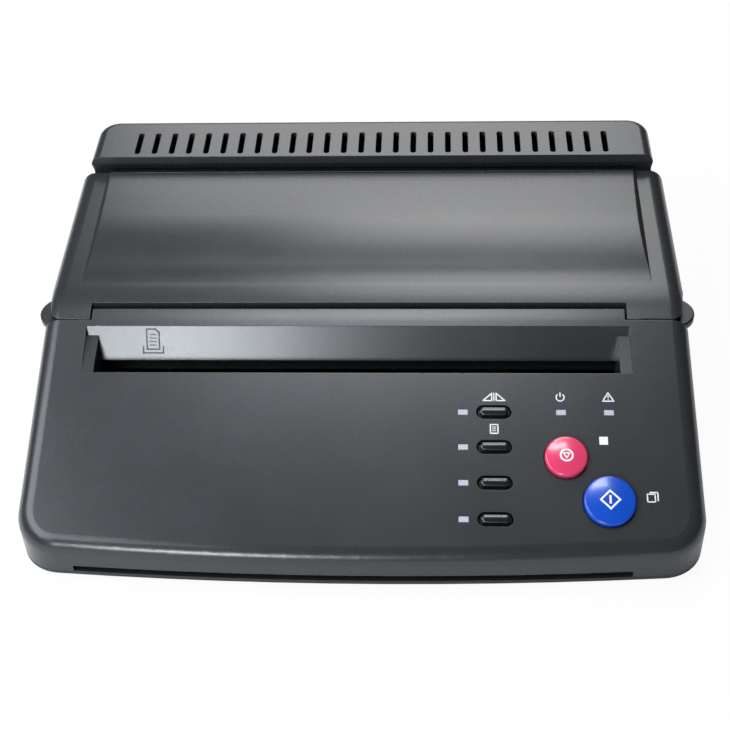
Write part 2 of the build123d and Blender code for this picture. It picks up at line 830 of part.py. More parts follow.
with BuildPart() as latch_spring:
    spring_x = (path_centre_x + ear_inner[0] - 12.0, path_centre_x + ear_inner[0] - slip)
    rod(spring_x, latch, latch_shaft_radius + 1.4)
    rod(spring_x, latch, latch_shaft_radius + running_fit + 0.3, mode=Mode.SUBTRACT)

# ---------------------------------------------------------------- side frames
bush_hole = {"platen": platen_shaft_radius + bush_wall, "feed": feed_shaft_radius + bush_wall}


def mesh_point(first, first_reach, second, second_reach):
    """The upper place that lies the given distances from two centres (y, z)."""
    dy = second[0] - first[0]
    dz = second[1] - first[1]
    span = sqrt(dy * dy + dz * dz)
    along = (first_reach**2 - second_reach**2 + span**2) / (2 * span)
    aside = sqrt(max(first_reach**2 - along**2, 0))
    options = [
        (
            first[0] + (along * dy - turn * aside * dz) / span,
            first[1] + (along * dz + turn * aside * dy) / span,
        )
        for turn in (-1, 1)
    ]
    return max(options, key=lambda place: place[1])


def gear_reach(first_teeth, second_teeth):
    """Centre distance of two gears in mesh."""
    return tooth_module * (first_teeth + second_teeth) / 2


def placed_from(centre, reach, angle):
    """A centre at a distance and direction, in degrees, from another."""
    return (centre[0] + reach * cos(radians(angle)), centre[1] + reach * sin(radians(angle)))


drive = placed_from(platen, gear_reach(platen_teeth, pinion_teeth), -53)
motor = placed_from(drive, gear_reach(drive_teeth, pinion_teeth), -16)
idler_a = placed_from(drive, gear_reach(pinion_teeth, idler_a_teeth), -117)
idler_b = placed_from(idler_a, gear_reach(idler_a_teeth, idler_b_teeth), -178)
idler_c = mesh_point(
    idler_b, gear_reach(idler_b_teeth, idler_c_teeth), feed, gear_reach(idler_c_teeth, feed_teeth)
)
tie_centres = [
    (front_y + 105.5, deck_top - deck_thickness - tie_half - slip),
    (motor[0] - motor_radius - tie_half - 1.0, motor[1] + 8.0),
    (front_y + 92.0, shell_bottom + 6.0),
]


def side_frame(side):
    """One steel side plate with its hinge ear, bearing holes and striker hole."""
    plate_x = mirrored((frame_inner, frame_inner + frame_thickness), side)
    low = shell_bottom + slip
    with BuildPart() as frame:
        slab(
            [
                (feed[0] - 14, low), (feed[0] - 14, feed_height + 7), (feed[0] - 10, tub_bottom - slip),
                (slot_rear_y + tub_wall + 1, tub_bottom - slip),
                (slot_rear_y + tub_wall + 1, shelf_top - shelf_thickness - slip),
                (strip_rear_y + 1, shelf_top - shelf_thickness - slip),
                (strip_rear_y + 1, deck_top - slip), (platen[0] - 12, deck_top - slip),
                (platen[0] - 8, platen_height + 6.2), (platen[0] + 8, platen_height + 6.2),
                (platen[0] + 12, deck_top - slip), (hinge[0] - 9, deck_top - slip),
                (hinge[0] - frame_ear_radius, hinge_height - 8), (hinge[0] - frame_ear_radius, hinge_height),
                (hinge[0] + frame_ear_radius, hinge_height), (hinge[0] + frame_ear_radius, deck_top - 4),
                (hinge[0] + frame_ear_radius + 3, low),
            ],
            plate_x,
        )
        rod(plate_x, hinge, frame_ear_radius)
        holes = [
            (hinge, hinge_pin_radius + running_fit),
            (platen, bush_hole["platen"] + running_fit),
            (feed, bush_hole["feed"] + running_fit),
            (striker, striker_radius + running_fit),
        ]
        if side > 0:
            holes.append((motor, 3.5))
            for centre in (drive, idler_a, idler_b, idler_c):
                holes.append((centre, stud_radius + running_fit))
        for centre, radius in holes:
            rod(plate_x, centre, radius, mode=Mode.SUBTRACT)
        # window for the wiring
        with BuildSketch(Plane.YZ.offset(plate_x[0])) as window:
            with Locations((front_y + 100.0, shell_bottom + 21.0)):
                Rectangle(26, 8, rotation=60)
        extrude(window.sketch, amount=frame_thickness, mode=Mode.SUBTRACT)
    return frame


frames = {"side_frame_left": side_frame(-1), "side_frame_right": side_frame(1)}

with BuildPart() as tie_bars:
    for centre in tie_centres:
        block(
            (frame_left, frame_right), (centre[0] - tie_half, centre[0] + tie_half),
            (centre[1] - tie_half, centre[1] + tie_half),
        )

with BuildPart() as strikers:
    for side in (-1, 1):
        rod(mirrored((frame_inner, lever_out), side), striker, striker_radius)

# ---------------------------------------------------------------- rollers
bushes = {}
for name, centre, shaft_radius in (
    ("platen_bushes", platen, platen_shaft_radius),
    ("feed_bushes", feed, feed_shaft_radius),
):
    with BuildPart() as bush_pair:
        for side in (-1, 1):
            plate = (frame_inner, frame_inner + frame_thickness)
            rod(mirrored(plate, side), centre, shaft_radius + bush_wall)
            flange_half = shaft_radius + bush_wall + bush_flange
            block(
                mirrored((plate[1], plate[1] + bush_flange), side),
                (centre[0] - flange_half, centre[0] + flange_half),
                (centre[1] - flange_half, centre[1] + flange_half),
            )
            rod(
                mirrored((plate[0], plate[1] + bush_flange), side), centre,
                shaft_radius + running_fit, mode=Mode.SUBTRACT,
            )
    bushes[name] = bush_pair

shafts = {}
for name, centre, shaft_radius in (
    ("platen_shaft", platen, platen_shaft_radius),
    ("feed_shaft", feed, feed_shaft_radius),
):
    with BuildPart() as shaft:
        shaft_x = mirrored((-frame_inner - frame_thickness - shaft_end, gear_out + 0.5), 1)
        rod(shaft_x, centre, shaft_radius)
    shafts[name] = shaft

rollers = {}
for name, centre, shaft_radius, roller_radius in (
    ("platen_roller", platen, platen_shaft_radius, platen_radius),
    ("feed_roller", feed, feed_shaft_radius, feed_radius),
):
    with BuildPart() as roller:
        roller_x = (path_centre_x - roller_length / 2, path_centre_x + roller_length / 2)
        rod(roller_x, centre, roller_radius)
        rod(roller_x, centre, shaft_radius + running_fit, mode=Mode.SUBTRACT)
    rollers[name] = roller


# ---------------------------------------------------------------- gears
def gear_outline(teeth, turn, centre, x):
    """A straight-flanked spur gear in side view, its first tooth at an angle."""
    pitch = tooth_module * teeth / 2
    tip = pitch + tooth_module
    root = pitch - 1.25 * tooth_module
    pressure = radians(20)
    half_pitch = (pi * tooth_module / 2 - backlash) / 2
    base = pitch * cos(pressure)

    def half_angle(radius):
        spread = tan(acos(min(base / radius, 1.0))) - acos(min(base / radius, 1.0))
        return half_pitch / pitch + tan(pressure) - pressure - spread

    points = []
    for tooth in range(teeth):
        middle = turn + 2 * pi * tooth / teeth
        for radius, sign in ((root, -1), (tip, -1), (tip, 1), (root, 1)):
            angle = middle + sign * half_angle(max(radius, base))
            points.append((centre[0] + radius * cos(angle), centre[1] + radius * sin(angle)))
    with BuildSketch(Plane.YZ.offset(x)) as outline:
        Polygon(*points, align=None)
    return outline.sketch


def meshed_turn(teeth, turn, centre, next_teeth, next_centre):
    """The angle that puts the next gear's gap opposite this gear's tooth."""
    toward = atan2(next_centre[1] - centre[1], next_centre[0] - centre[0])
    phase = ((toward - turn) * teeth / (2 * pi)) % 1.0
    return toward + pi - 2 * pi / next_teeth * (0.5 - phase)


platen_turn = 0.0
drive_turn = meshed_turn(platen_teeth, platen_turn, platen, pinion_teeth, drive)
motor_turn = meshed_turn(drive_teeth, drive_turn, drive, pinion_teeth, motor)
idler_a_turn = meshed_turn(pinion_teeth, drive_turn, drive, idler_a_teeth, idler_a)
idler_b_turn = meshed_turn(idler_a_teeth, idler_a_turn, idler_a, idler_b_teeth, idler_b)
idler_c_turn = meshed_turn(idler_b_teeth, idler_b_turn, idler_b, idler_c_teeth, idler_c)
feed_turn = meshed_turn(idler_c_teeth, idler_c_turn, idler_c, feed_teeth, feed)
inner_gear_x = path_centre_x + gear_in
outer_gear_x = path_centre_x + outer_gear_in
gears = {}
for name, teeth, turn, centre, start_x, bore in (
    ("platen_gear", platen_teeth, platen_turn, platen, inner_gear_x, platen_shaft_radius),
    ("idler_gear_rear", idler_a_teeth, idler_a_turn, idler_a, inner_gear_x, stud_radius),
    ("idler_gear_middle", idler_b_teeth, idler_b_turn, idler_b, inner_gear_x, stud_radius),
    ("idler_gear_front", idler_c_teeth, idler_c_turn, idler_c, inner_gear_x, stud_radius),
    ("feed_gear", feed_teeth, feed_turn, feed, inner_gear_x, feed_shaft_radius),
    ("motor_pinion", pinion_teeth, motor_turn, motor, outer_gear_x, motor_shaft_radius),
):
    with BuildPart() as gear:
        extrude(gear_outline(teeth, turn, centre, start_x), amount=gear_width)
        rod((start_x, start_x + gear_width), centre, bore + running_fit, mode=Mode.SUBTRACT)
    gears[name] = gear

with BuildPart() as drive_gear:
    extrude(gear_outline(pinion_teeth, drive_turn, drive, inner_gear_x), amount=gear_width)
    rod((inner_gear_x + gear_width, outer_gear_x), drive, tooth_module * pinion_teeth / 2 - 1)
    extrude(gear_outline(drive_teeth, drive_turn, drive, outer_gear_x), amount=gear_width)
    rod((inner_gear_x, outer_gear_x + gear_width), drive, stud_radius + running_fit, mode=Mode.SUBTRACT)

with BuildPart() as gear_studs:
    for centre, stud_end in (
        (drive, outer_gear_out), (idler_a, gear_out), (idler_b, gear_out), (idler_c, gear_out)
    ):
        rod((frame_right, path_centre_x + stud_end + 1), centre, stud_radius)

with BuildPart() as stepper_motor:
    rod((frame_right - motor_length, frame_right - slip), motor, motor_radius)
    chamfer(stepper_motor.edges().filter_by(GeomType.CIRCLE), 1.2)
    rod((frame_right - motor_length - 1, frame_right), motor, motor_shaft_radius + 0.3, mode=Mode.SUBTRACT)

with BuildPart() as motor_shaft:
    rod((frame_right - motor_length + 2, path_centre_x + outer_gear_out + 0.5), motor, motor_shaft_radius)

# ---------------------------------------------------------------- thermal head
with BuildPart() as thermal_head:
    head_x = mirrored((-head_length / 2, head_length / 2), 1)
    block(head_x, (platen[0] - head_width / 2, platen[0] + head_width / 2), (head_bottom, head_top))
    # cooling grooves along the top, on both sides of the springs
    for groove_side in (-1, 1):
        groove_y = platen[0] + groove_side * (head_width / 2 - 2.6)
        block(head_x, (groove_y - 0.9, groove_y + 0.9), (head_top - 2, head_top), mode=Mode.SUBTRACT)
    # end tongues that ride in the cover's brackets
    tongue_end = ear_inner[1] - slip
    block(
        mirrored((-tongue_end, tongue_end), 1),
        (platen[0] - tongue_width / 2, platen[0] + tongue_width / 2), (head_bottom + slip, head_top),
    )
    for spot in spring_spots:
        with Locations((spot[0], spot[1], head_top - spring_pocket / 2)):
            Box(2 * spring_radius + slip, 2 * spring_radius + slip, spring_pocket, mode=Mode.SUBTRACT)

with BuildPart() as head_element:
    block(
        head_x, (platen[0] - ceramic_width / 2, platen[0] + ceramic_width / 2),
        (ceramic_bottom, head_bottom),
    )

with BuildPart() as head_springs:
    for spot in spring_spots:
        spring_low = head_top - spring_pocket
        with Locations((spot[0], spot[1], (spring_low + spring_boss_bottom) / 2)):
            Cylinder(spring_radius, spring_boss_bottom - spring_low)

# ---------------------------------------------------------------- scanner bar
glass_front_y = feed[0] + feed_radius + slip
sensor_front_y = glass_front_y + glass_thickness
sensor_z = (feed_height - sensor_height / 2, feed_height + sensor_height / 2)
sensor_x = mirrored((-sensor_length / 2, sensor_length / 2), 1)

with BuildPart() as image_sensor:
    block(sensor_x, (sensor_front_y, sensor_front_y + sensor_depth), sensor_z)
    # lens channel behind the glass
    block(
        (sensor_x[0] + 3, sensor_x[1] - 3), (sensor_front_y, sensor_front_y + 3),
        (feed_height - 4, feed_height + 4), mode=Mode.SUBTRACT,
    )
    # lugs that reach the side frames
    block(
        (frame_left, frame_right), (sensor_front_y + 4, sensor_front_y + sensor_depth - 3),
        (feed_height - 3, feed_height + 3),
    )

with BuildPart() as sensor_glass:
    block(sensor_x, (glass_front_y, sensor_front_y), sensor_z)

# ---------------------------------------------------------------- paper guides
guide_x = (frame_left + slip, frame_right - slip)
platen_opening = platen_radius + 0.5
guide_outer = guide_radius + deck_thickness
guide_rib_count = 9
guide_rib_height = 1.0

with BuildPart() as front_guide:
    block(guide_x, (strip_rear_y + slip, platen[0] - platen_opening), (deck_top - deck_thickness, deck_top))
    chamfer(front_guide.edges().filter_by(Axis.X).group_by(Axis.Z)[-1], 0.5)

with BuildPart() as rear_guide:
    # curl round the hinge that leads the stencil in from behind
    rod(guide_x, hinge, guide_outer)
    rod(guide_x, hinge, guide_radius, mode=Mode.SUBTRACT)
    block(
        guide_x, (hinge[0], hinge[0] + guide_outer), (hinge_height - guide_outer, hinge_height),
        mode=Mode.INTERSECT,
    )
    block(guide_x, (platen[0] + platen_opening, hinge[0]), (deck_top - deck_thickness, deck_top))
    for rib in range(guide_rib_count):
        rib_x = path_centre_x + (rib / (guide_rib_count - 1) - 0.5) * rib_spread
        block(
            (rib_x - rib_thickness / 2, rib_x + rib_thickness / 2),
            (platen[0] + platen_opening + 2, hinge[0] - frame_ear_radius),
            (deck_top, deck_top + guide_rib_height),
        )

chute_x = (exit_left + slip, exit_right - slip)
chute_in = feed_radius + chute_gap
chute_out = chute_in + chute_thickness
chute_start = -48.0
chute_end = -90.0 - chute_slope
chute_front_y = front_y + 8.0
chute_fall = tan(radians(chute_slope))

with BuildPart() as exit_chute:
    rod(chute_x, feed, chute_out)
    rod(chute_x, feed, chute_in, mode=Mode.SUBTRACT)
    curl_start = placed_from(feed, 3 * chute_out, chute_start)
    curl_end = placed_from(feed, 3 * chute_out, chute_end)
    slab([feed, curl_start, curl_end], chute_x, mode=Mode.INTERSECT)
    slope_top = placed_from(feed, chute_in, chute_end)
    slope_under = placed_from(feed, chute_out, chute_end)
    slab(
        [
            slope_top,
            slope_under,
            (slope_under[0] - (slope_under[1] - shell_bottom) / chute_fall, shell_bottom),
            (chute_front_y, shell_bottom),
            (chute_front_y, slope_top[1] - (slope_top[0] - chute_front_y) * chute_fall),
        ],
        chute_x,
    )

# ---------------------------------------------------------------- circuit boards
board_top = board_height + board_thickness


def chips(first, step, count, size):
    """A row of block-shaped components on a board: first corner, pitch, count, size."""
    for chip in range(count):
        x = first[0] + chip * step
        block((x, x + size[0]), (first[1], first[1] + size[1]), (board_top, board_top + size[2]))


def capacitors(first, step, count, radius, height):
    """A row of upright round components on a board."""
    for can in range(count):
        with Locations((first[0] + can * step[0], first[1] + can * step[1], board_top + height / 2)):
            Cylinder(radius, height)


with BuildPart() as main_board:
    block(main_board_x, main_board_y, (board_height, board_top))
    chips((main_board_x[0] + 36, main_board_y[0] + 28), 30, 3, (16, 16, 2))
    chips((main_board_x[0] + 16, main_board_y[0] + 4), 26, 4, (16, 6, 7))
    chips((main_board_x[0] + 24, main_board_y[1] - 12), 20, 5, (10, 5, 1.6))
    capacitors((main_board_x[0] + 14, main_board_y[0] + 24), (0, 12), 3, 4, 10)

with BuildPart() as power_board:
    block(power_board_x, power_board_y, (board_height, board_top))
    chips((power_board_x[1] - 70, power_board_y[0] + 2), 30, 1, (22, 16, 18))
    chips((power_board_x[1] - 40, power_board_y[0] + 3), 11, 3, (4, 14, 16))
    capacitors((power_board_x[0] + 18, power_board_y[0] + 10), (16, 0), 2, 6, 18)

# ---------------------------------------------------------------- keys and lamps
flange_top = wall + slip
stem_gap = 0.1  # left between a pressed key and its switch

keys = {}
for row, up in enumerate(key_rows):
    with BuildPart() as key:
        with BuildSketch(panel.offset(key_rise)):
            with Locations((key_x, up)):
                SlotOverall(key_length, key_width)
        extrude(amount=-(key_rise + flange_top))
        chamfer(key.faces().sort_by(panel_axis)[-1].edges(), key_edge_bevel)
        with BuildSketch(panel.offset(-flange_top)):
            with Locations((key_x, up)):
                Rectangle(key_length + 2 * key_flange, key_width + 2 * key_flange)
        extrude(amount=-key_flange_thickness)
        with BuildSketch(panel.offset(-flange_top)):
            with Locations((key_x, up)):
                Rectangle(key_width, key_width)
        extrude(amount=-(panel_board_drop - switch_height - key_travel - stem_gap - flange_top))
    keys["mode_key_" + str(row + 1)] = key

for name, x, up, radius in (
    ("stop_key", stop_x, stop_up, stop_radius),
    ("copy_key", copy_x, copy_up, copy_radius),
):
    with BuildPart() as key:
        with BuildSketch(panel.offset(round_key_rise)):
            with Locations((x, up)):
                Circle(radius)
        extrude(amount=-(round_key_rise + flange_top))
        chamfer(key.edges().sort_by(panel_axis)[-1], round_key_bevel)
        # finger dish inside the rim
        with BuildSketch(panel.offset(round_key_rise)):
            with Locations((x, up)):
                Circle(radius - dish_rim)
        extrude(amount=-dish_depth, taper=dish_taper, mode=Mode.SUBTRACT)
        with BuildSketch(panel.offset(-flange_top)):
            with Locations((x, up)):
                Circle(radius + key_flange)
        extrude(amount=-key_flange_thickness)
        with BuildSketch(panel.offset(-flange_top)):
            with Locations((x, up)):
                Rectangle(switch_side, switch_side)
        extrude(amount=-(panel_board_drop - switch_height - round_key_travel - stem_gap - flange_top))
    keys[name] = key

lamps = {}
for name, spots in (
    ("mode_lamps", [(lamp_x, up) for up in key_rows]),
    ("status_lamps", [(x, status_up) for x in status_lamp_x]),
):
    with BuildPart() as lamp_set:
        with BuildSketch(panel.offset(-0.15)):
            with Locations(*spots):
                Rectangle(lamp_length - 2 * running_fit, lamp_width - 2 * running_fit)
        extrude(amount=-(panel_board_drop - 0.15))
    lamps[name] = lamp_set

# ---------------------------------------------------------------- mains inlet
inlet_wall = 1.6
inlet_cavity_depth = 15.0
inlet_corner = 4.0
pin_spacing = 7.0
pin_offset = 2.0
pin_size = (2.0, 4.0)
pin_setback = 3.0
pin_tail = 6.0
pin_spots = [
    (inlet_x - pin_spacing, inlet_centre_height - pin_offset),
    (inlet_x, inlet_centre_height + pin_offset),
    (inlet_x + pin_spacing, inlet_centre_height - pin_offset),
]

with BuildPart() as mains_inlet:
    block(
        (inlet_x - inlet_width / 2, inlet_x + inlet_width / 2), (back_y - inlet_depth, back_y),
        (inlet_centre_height - inlet_height / 2, inlet_centre_height + inlet_height / 2),
    )
    with BuildSketch(Plane.XZ.offset(-back_y)):
        with Locations((inlet_x, inlet_centre_height)):
            cavity = Rectangle(inlet_width - 2 * inlet_wall, inlet_height - 2 * inlet_wall)
        chamfer(cavity.vertices().group_by(Axis.Y)[-1], inlet_corner)
    extrude(amount=inlet_cavity_depth, mode=Mode.SUBTRACT)
    for x, z in pin_spots:
        block(
            (x - pin_size[0] / 2, x + pin_size[0] / 2), (back_y - inlet_depth, back_y),
            (z - pin_size[1] / 2, z + pin_size[1] / 2), mode=Mode.SUBTRACT,
        )

with BuildPart() as inlet_pins:
    for x, z in pin_spots:
        block(
            (x - pin_size[0] / 2, x + pin_size[0] / 2),
            (back_y - inlet_depth - pin_tail, back_y - pin_setback),
            (z - pin_size[1] / 2, z + pin_size[1] / 2),
        )

# ---------------------------------------------------------------- mains switch
rocker_axis = (back_y - 5.0, inlet_centre_height)
rocker_frame_wall = 2.2
rocker_frame_depth = 14.0
rocker_pivot_radius = 1.0
rocker_body = (rocker_width / 2 - rocker_frame_wall - slip, rocker_height / 2 - rocker_frame_wall - slip)

with BuildPart() as rocker_frame:
    block(
        (rocker_x - rocker_width / 2, rocker_x + rocker_width / 2), (back_y - rocker_frame_depth, back_y),
        (inlet_centre_height - rocker_height / 2, inlet_centre_height + rocker_height / 2),
    )
    block(
        (rocker_x - rocker_width / 2 + rocker_frame_wall, rocker_x + rocker_width / 2 - rocker_frame_wall),
        (back_y - rocker_frame_depth + rocker_frame_wall, back_y),
        (
            inlet_centre_height - rocker_height / 2 + rocker_frame_wall,
            inlet_centre_height + rocker_height / 2 - rocker_frame_wall,
        ),
        mode=Mode.SUBTRACT,
    )
    rod(
        (rocker_x - rocker_width / 2 + 1, rocker_x + rocker_width / 2 - 1), rocker_axis,
        rocker_pivot_radius + running_fit, mode=Mode.SUBTRACT,
    )

with BuildPart() as power_rocker:
    # face of two flats that meet over the pivot, tipped to one side
    tip = rocker_body[1] - 0.4
    tip_face = 2.2 + tip * tan(radians(rocker_tilt))
    tipped = Plane(
        origin=(rocker_x, *rocker_axis), x_dir=(0, cos(radians(rocker_tilt)), sin(radians(rocker_tilt))),
        z_dir=(1, 0, 0),
    )
    with BuildSketch(tipped) as rocker_side:
        Polygon(
            (2.2, 0), (tip_face, tip), (0, tip), (-3, 2), (-3, -2), (0, -tip), (tip_face, -tip),
            align=None,
        )
    extrude(rocker_side.sketch, amount=rocker_body[0], both=True)
    rod(
        (rocker_x - rocker_width / 2 + 1 + slip, rocker_x + rocker_width / 2 - 1 - slip), rocker_axis,
        rocker_pivot_radius,
    )

# ---------------------------------------------------------------- finished pieces
pieces = {
    "base_tray": base_tray,
    "rubber_feet": rubber_feet,
    "main_housing": main_housing,
    "panel_board": panel_board,
    "panel_switches": panel_switches,
    "vent_rail": vent_rail,
    "top_cover": top_cover,
    "latch_shaft": latch_shaft,
    "latch_spring": latch_spring,
    "strikers": strikers,
    "tie_bars": tie_bars,
    "drive_gear": drive_gear,
    "gear_studs": gear_studs,
    "stepper_motor": stepper_motor,
    "motor_shaft": motor_shaft,
    "thermal_head": thermal_head,
    "head_element": head_element,
    "head_springs": head_springs,
    "image_sensor": image_sensor,
    "sensor_glass": sensor_glass,
    "front_guide": front_guide,
    "rear_guide": rear_guide,
    "exit_chute": exit_chute,
    "main_board": main_board,
    "power_board": power_board,
    "mains_inlet": mains_inlet,
    "inlet_pins": inlet_pins,
    "rocker_frame": rocker_frame,
    "power_rocker": power_rocker,
}
for group in (hinge_pins, levers, frames, bushes, shafts, rollers, gears, keys, lamps):
    pieces.update(group)
for name, piece in pieces.items():
    piece.part.label = name
    export_step(piece.part, "parts/" + name + ".step")
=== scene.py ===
import json
import math

import bmesh
import bpy
from mathutils import Matrix, Vector

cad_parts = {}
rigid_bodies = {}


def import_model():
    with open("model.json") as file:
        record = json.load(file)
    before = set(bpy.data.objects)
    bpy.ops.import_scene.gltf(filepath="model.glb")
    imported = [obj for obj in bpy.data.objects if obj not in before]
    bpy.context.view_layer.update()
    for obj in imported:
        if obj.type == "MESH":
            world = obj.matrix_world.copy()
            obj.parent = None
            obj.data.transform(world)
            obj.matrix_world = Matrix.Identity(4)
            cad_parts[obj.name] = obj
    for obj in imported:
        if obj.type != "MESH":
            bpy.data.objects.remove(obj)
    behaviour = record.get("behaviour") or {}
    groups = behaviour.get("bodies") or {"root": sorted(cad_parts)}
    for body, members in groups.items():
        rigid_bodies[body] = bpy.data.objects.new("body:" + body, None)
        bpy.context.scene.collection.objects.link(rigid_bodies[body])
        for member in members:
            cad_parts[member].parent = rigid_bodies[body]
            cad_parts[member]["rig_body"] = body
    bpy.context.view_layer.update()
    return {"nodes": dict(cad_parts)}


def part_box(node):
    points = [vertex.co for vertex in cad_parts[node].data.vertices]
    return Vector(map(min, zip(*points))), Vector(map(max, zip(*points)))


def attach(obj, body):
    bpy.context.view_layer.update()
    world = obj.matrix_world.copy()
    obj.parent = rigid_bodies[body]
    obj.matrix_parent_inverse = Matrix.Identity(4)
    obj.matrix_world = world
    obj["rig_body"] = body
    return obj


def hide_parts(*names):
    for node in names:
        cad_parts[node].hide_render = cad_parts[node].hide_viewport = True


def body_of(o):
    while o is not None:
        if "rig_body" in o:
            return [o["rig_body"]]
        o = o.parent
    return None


bl_info = {
    "name": "Thermal stencil copier",
    "version": (1, 0, 0),
    "blender": (4, 5, 0),
    "location": "View3D > Sidebar > Copier",
    "description": "Dresses the packed copier with its finishes, small parts and stage",
    "category": "Object",
}

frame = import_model()
nodes = frame["nodes"]

MM = 0.001
PANEL_SLOPE = math.radians(21.5)
PANEL_FOOT = Vector((0.0, -0.111, 0.0184))

# places on the panel, in millimetres across the machine and up the slope
KEY_ACROSS = 53.8
KEY_ROWS = (16.6, 31.75, 46.9, 62.05)
KEY_SIZE = (12.9, 4.7)
KEY_RISE = 1.5
STOP_SPOT = (81.9, 42.4)
STOP_WIDTH = 17.0
COPY_SPOT = (98.1, 24.0)
COPY_WIDTH = 20.4
ROUND_RISE = 3.2
RIM_ROUND = 1.1
CROWN_RISE = 0.8
LEDGE = 0.6
SLOT_SIGN_SPOT = (-88.0, -20.2, 50.15)
BOARD_TOP = 12.6
MAIN_CANS = ((-94, -86),)
POWER_CANS = ((-88, -60),)
TRANSFORMER = (-44, -22)
ROCKER_MIDDLE = (58.0, 24.0)
ROCKER_MARK = 3.8
TRAY_SCREWS = [(across, back) for across in (-88, 0, 88) for back in (-94, 96)]
BOARD_SCREW_INSET = 5.0

# the heater line's place across the ceramic and its half width, and the fan's start, in metres
HEATER_LINE = (0.014, 0.00035)
CONDUCTOR_START = 0.0006
CONDUCTORS_PER_METRE = 2500.0

# the camera's place in metres, its lens in picture widths and its angles in degrees
CAMERA_PLACE = (0.03001, -0.46049, 0.44621)
CAMERA_LENS = 1423.67 / 730
CAMERA_TILT = 42.91
CAMERA_SWING = -3.83
CAMERA_ROLL = -2.48


def crown(width):
    """Depth of a round key's domed top below its middle at a place."""
    reach = width / 2 - RIM_ROUND
    return lambda x, y: -CROWN_RISE * (x * x + y * y) / reach ** 2


# ---------------------------------------------------------------- settings
class CopierFinish(bpy.types.PropertyGroup):
    shell_colour: bpy.props.FloatVectorProperty(
        name="Shell", description="Colour of the moulded shells", subtype="COLOR",
        size=3, min=0, max=1, default=(0.0275, 0.0295, 0.0318),
    )
    shell_roughness: bpy.props.FloatProperty(
        name="Shell roughness", description="Roughness of the satin shells", subtype="FACTOR",
        min=0, max=1, default=0.27,
    )
    shell_grain: bpy.props.FloatProperty(
        name="Shell grain", description="Height of the moulded grain", subtype="DISTANCE",
        min=0, max=0.001, default=0.000012,
    )
    stop_colour: bpy.props.FloatVectorProperty(
        name="Stop key", description="Colour of the stop key", subtype="COLOR",
        size=3, min=0, max=1, default=(0.74, 0.052, 0.14),
    )
    copy_colour: bpy.props.FloatVectorProperty(
        name="Copy key", description="Colour of the copy key", subtype="COLOR",
        size=3, min=0, max=1, default=(0.006, 0.07, 0.5),
    )
    ink_colour: bpy.props.FloatVectorProperty(
        name="Printing", description="Colour of the printed signs", subtype="COLOR",
        size=3, min=0, max=1, default=(0.86, 0.86, 0.87),
    )
    lamp_colour: bpy.props.FloatVectorProperty(
        name="Lamps", description="Colour of the unlit lamps", subtype="COLOR",
        size=3, min=0, max=1, default=(0.5, 0.53, 0.6),
    )


class CopierDetail(bpy.types.PropertyGroup):
    ink_thickness: bpy.props.FloatProperty(
        name="Printing", description="Thickness of the printed signs", subtype="DISTANCE",
        min=0, max=0.001, default=0.00003,
    )
    coil_wire: bpy.props.FloatProperty(
        name="Spring wire", description="Thickness of the spring wire", subtype="DISTANCE",
        min=0, max=0.005, default=0.0005,
    )
    screw_head: bpy.props.FloatProperty(
        name="Screw heads", description="Width of the screw heads", subtype="DISTANCE",
        min=0, max=0.02, default=0.005,
    )


class CopierStage(bpy.types.PropertyGroup):
    overhead_power: bpy.props.FloatProperty(
        name="Overhead light", description="Power of the light over the panel", subtype="POWER",
        unit="POWER", min=0, default=5.3,
    )
    rear_power: bpy.props.FloatProperty(
        name="Rear light", description="Power of the light high behind", subtype="POWER",
        unit="POWER", min=0, default=3.6,
    )
    back_wall_power: bpy.props.FloatProperty(
        name="Back wall", description="Power of the wide light low behind", subtype="POWER",
        unit="POWER", min=0, default=5.1,
    )
    side_power: bpy.props.FloatProperty(
        name="Side light", description="Power of the high light at the front left", subtype="POWER",
        unit="POWER", min=0, default=4.9,
    )
    low_power: bpy.props.FloatProperty(
        name="Low light", description="Power of the low light at the front left", subtype="POWER",
        unit="POWER", min=0, default=7.5,
    )
    light_distance: bpy.props.FloatProperty(
        name="Distance", description="Distance of the lights from the machine", subtype="DISTANCE",
        unit="LENGTH", min=0.5, default=1.3,
    )
    room_level: bpy.props.FloatProperty(
        name="Room", description="Brightness of the room all round", min=0, default=0.04,
    )


# ---------------------------------------------------------------- shader maths
class Wire:
    """A shader socket that can be written in a formula."""

    def __init__(self, net, socket):
        self.net = net
        self.socket = socket

    def maths(self, operation, other=None, swapped=False):
        pair = (self,) if other is None else (other, self) if swapped else (self, other)
        return self.net.add("ShaderNodeMath", {"operation": operation}, dict(enumerate(pair)))

    def __add__(self, other):
        return self.maths("ADD", other)

    def __radd__(self, other):
        return self.maths("ADD", other, True)

    def __sub__(self, other):
        return self.maths("SUBTRACT", other)

    def __rsub__(self, other):
        return self.maths("SUBTRACT", other, True)

    def __mul__(self, other):
        return self.maths("MULTIPLY", other)

    def __rmul__(self, other):
        return self.maths("MULTIPLY", other, True)

    def above(self, edge):
        return self.maths("GREATER_THAN", edge)

    def under(self, edge):
        return self.maths("LESS_THAN", edge)


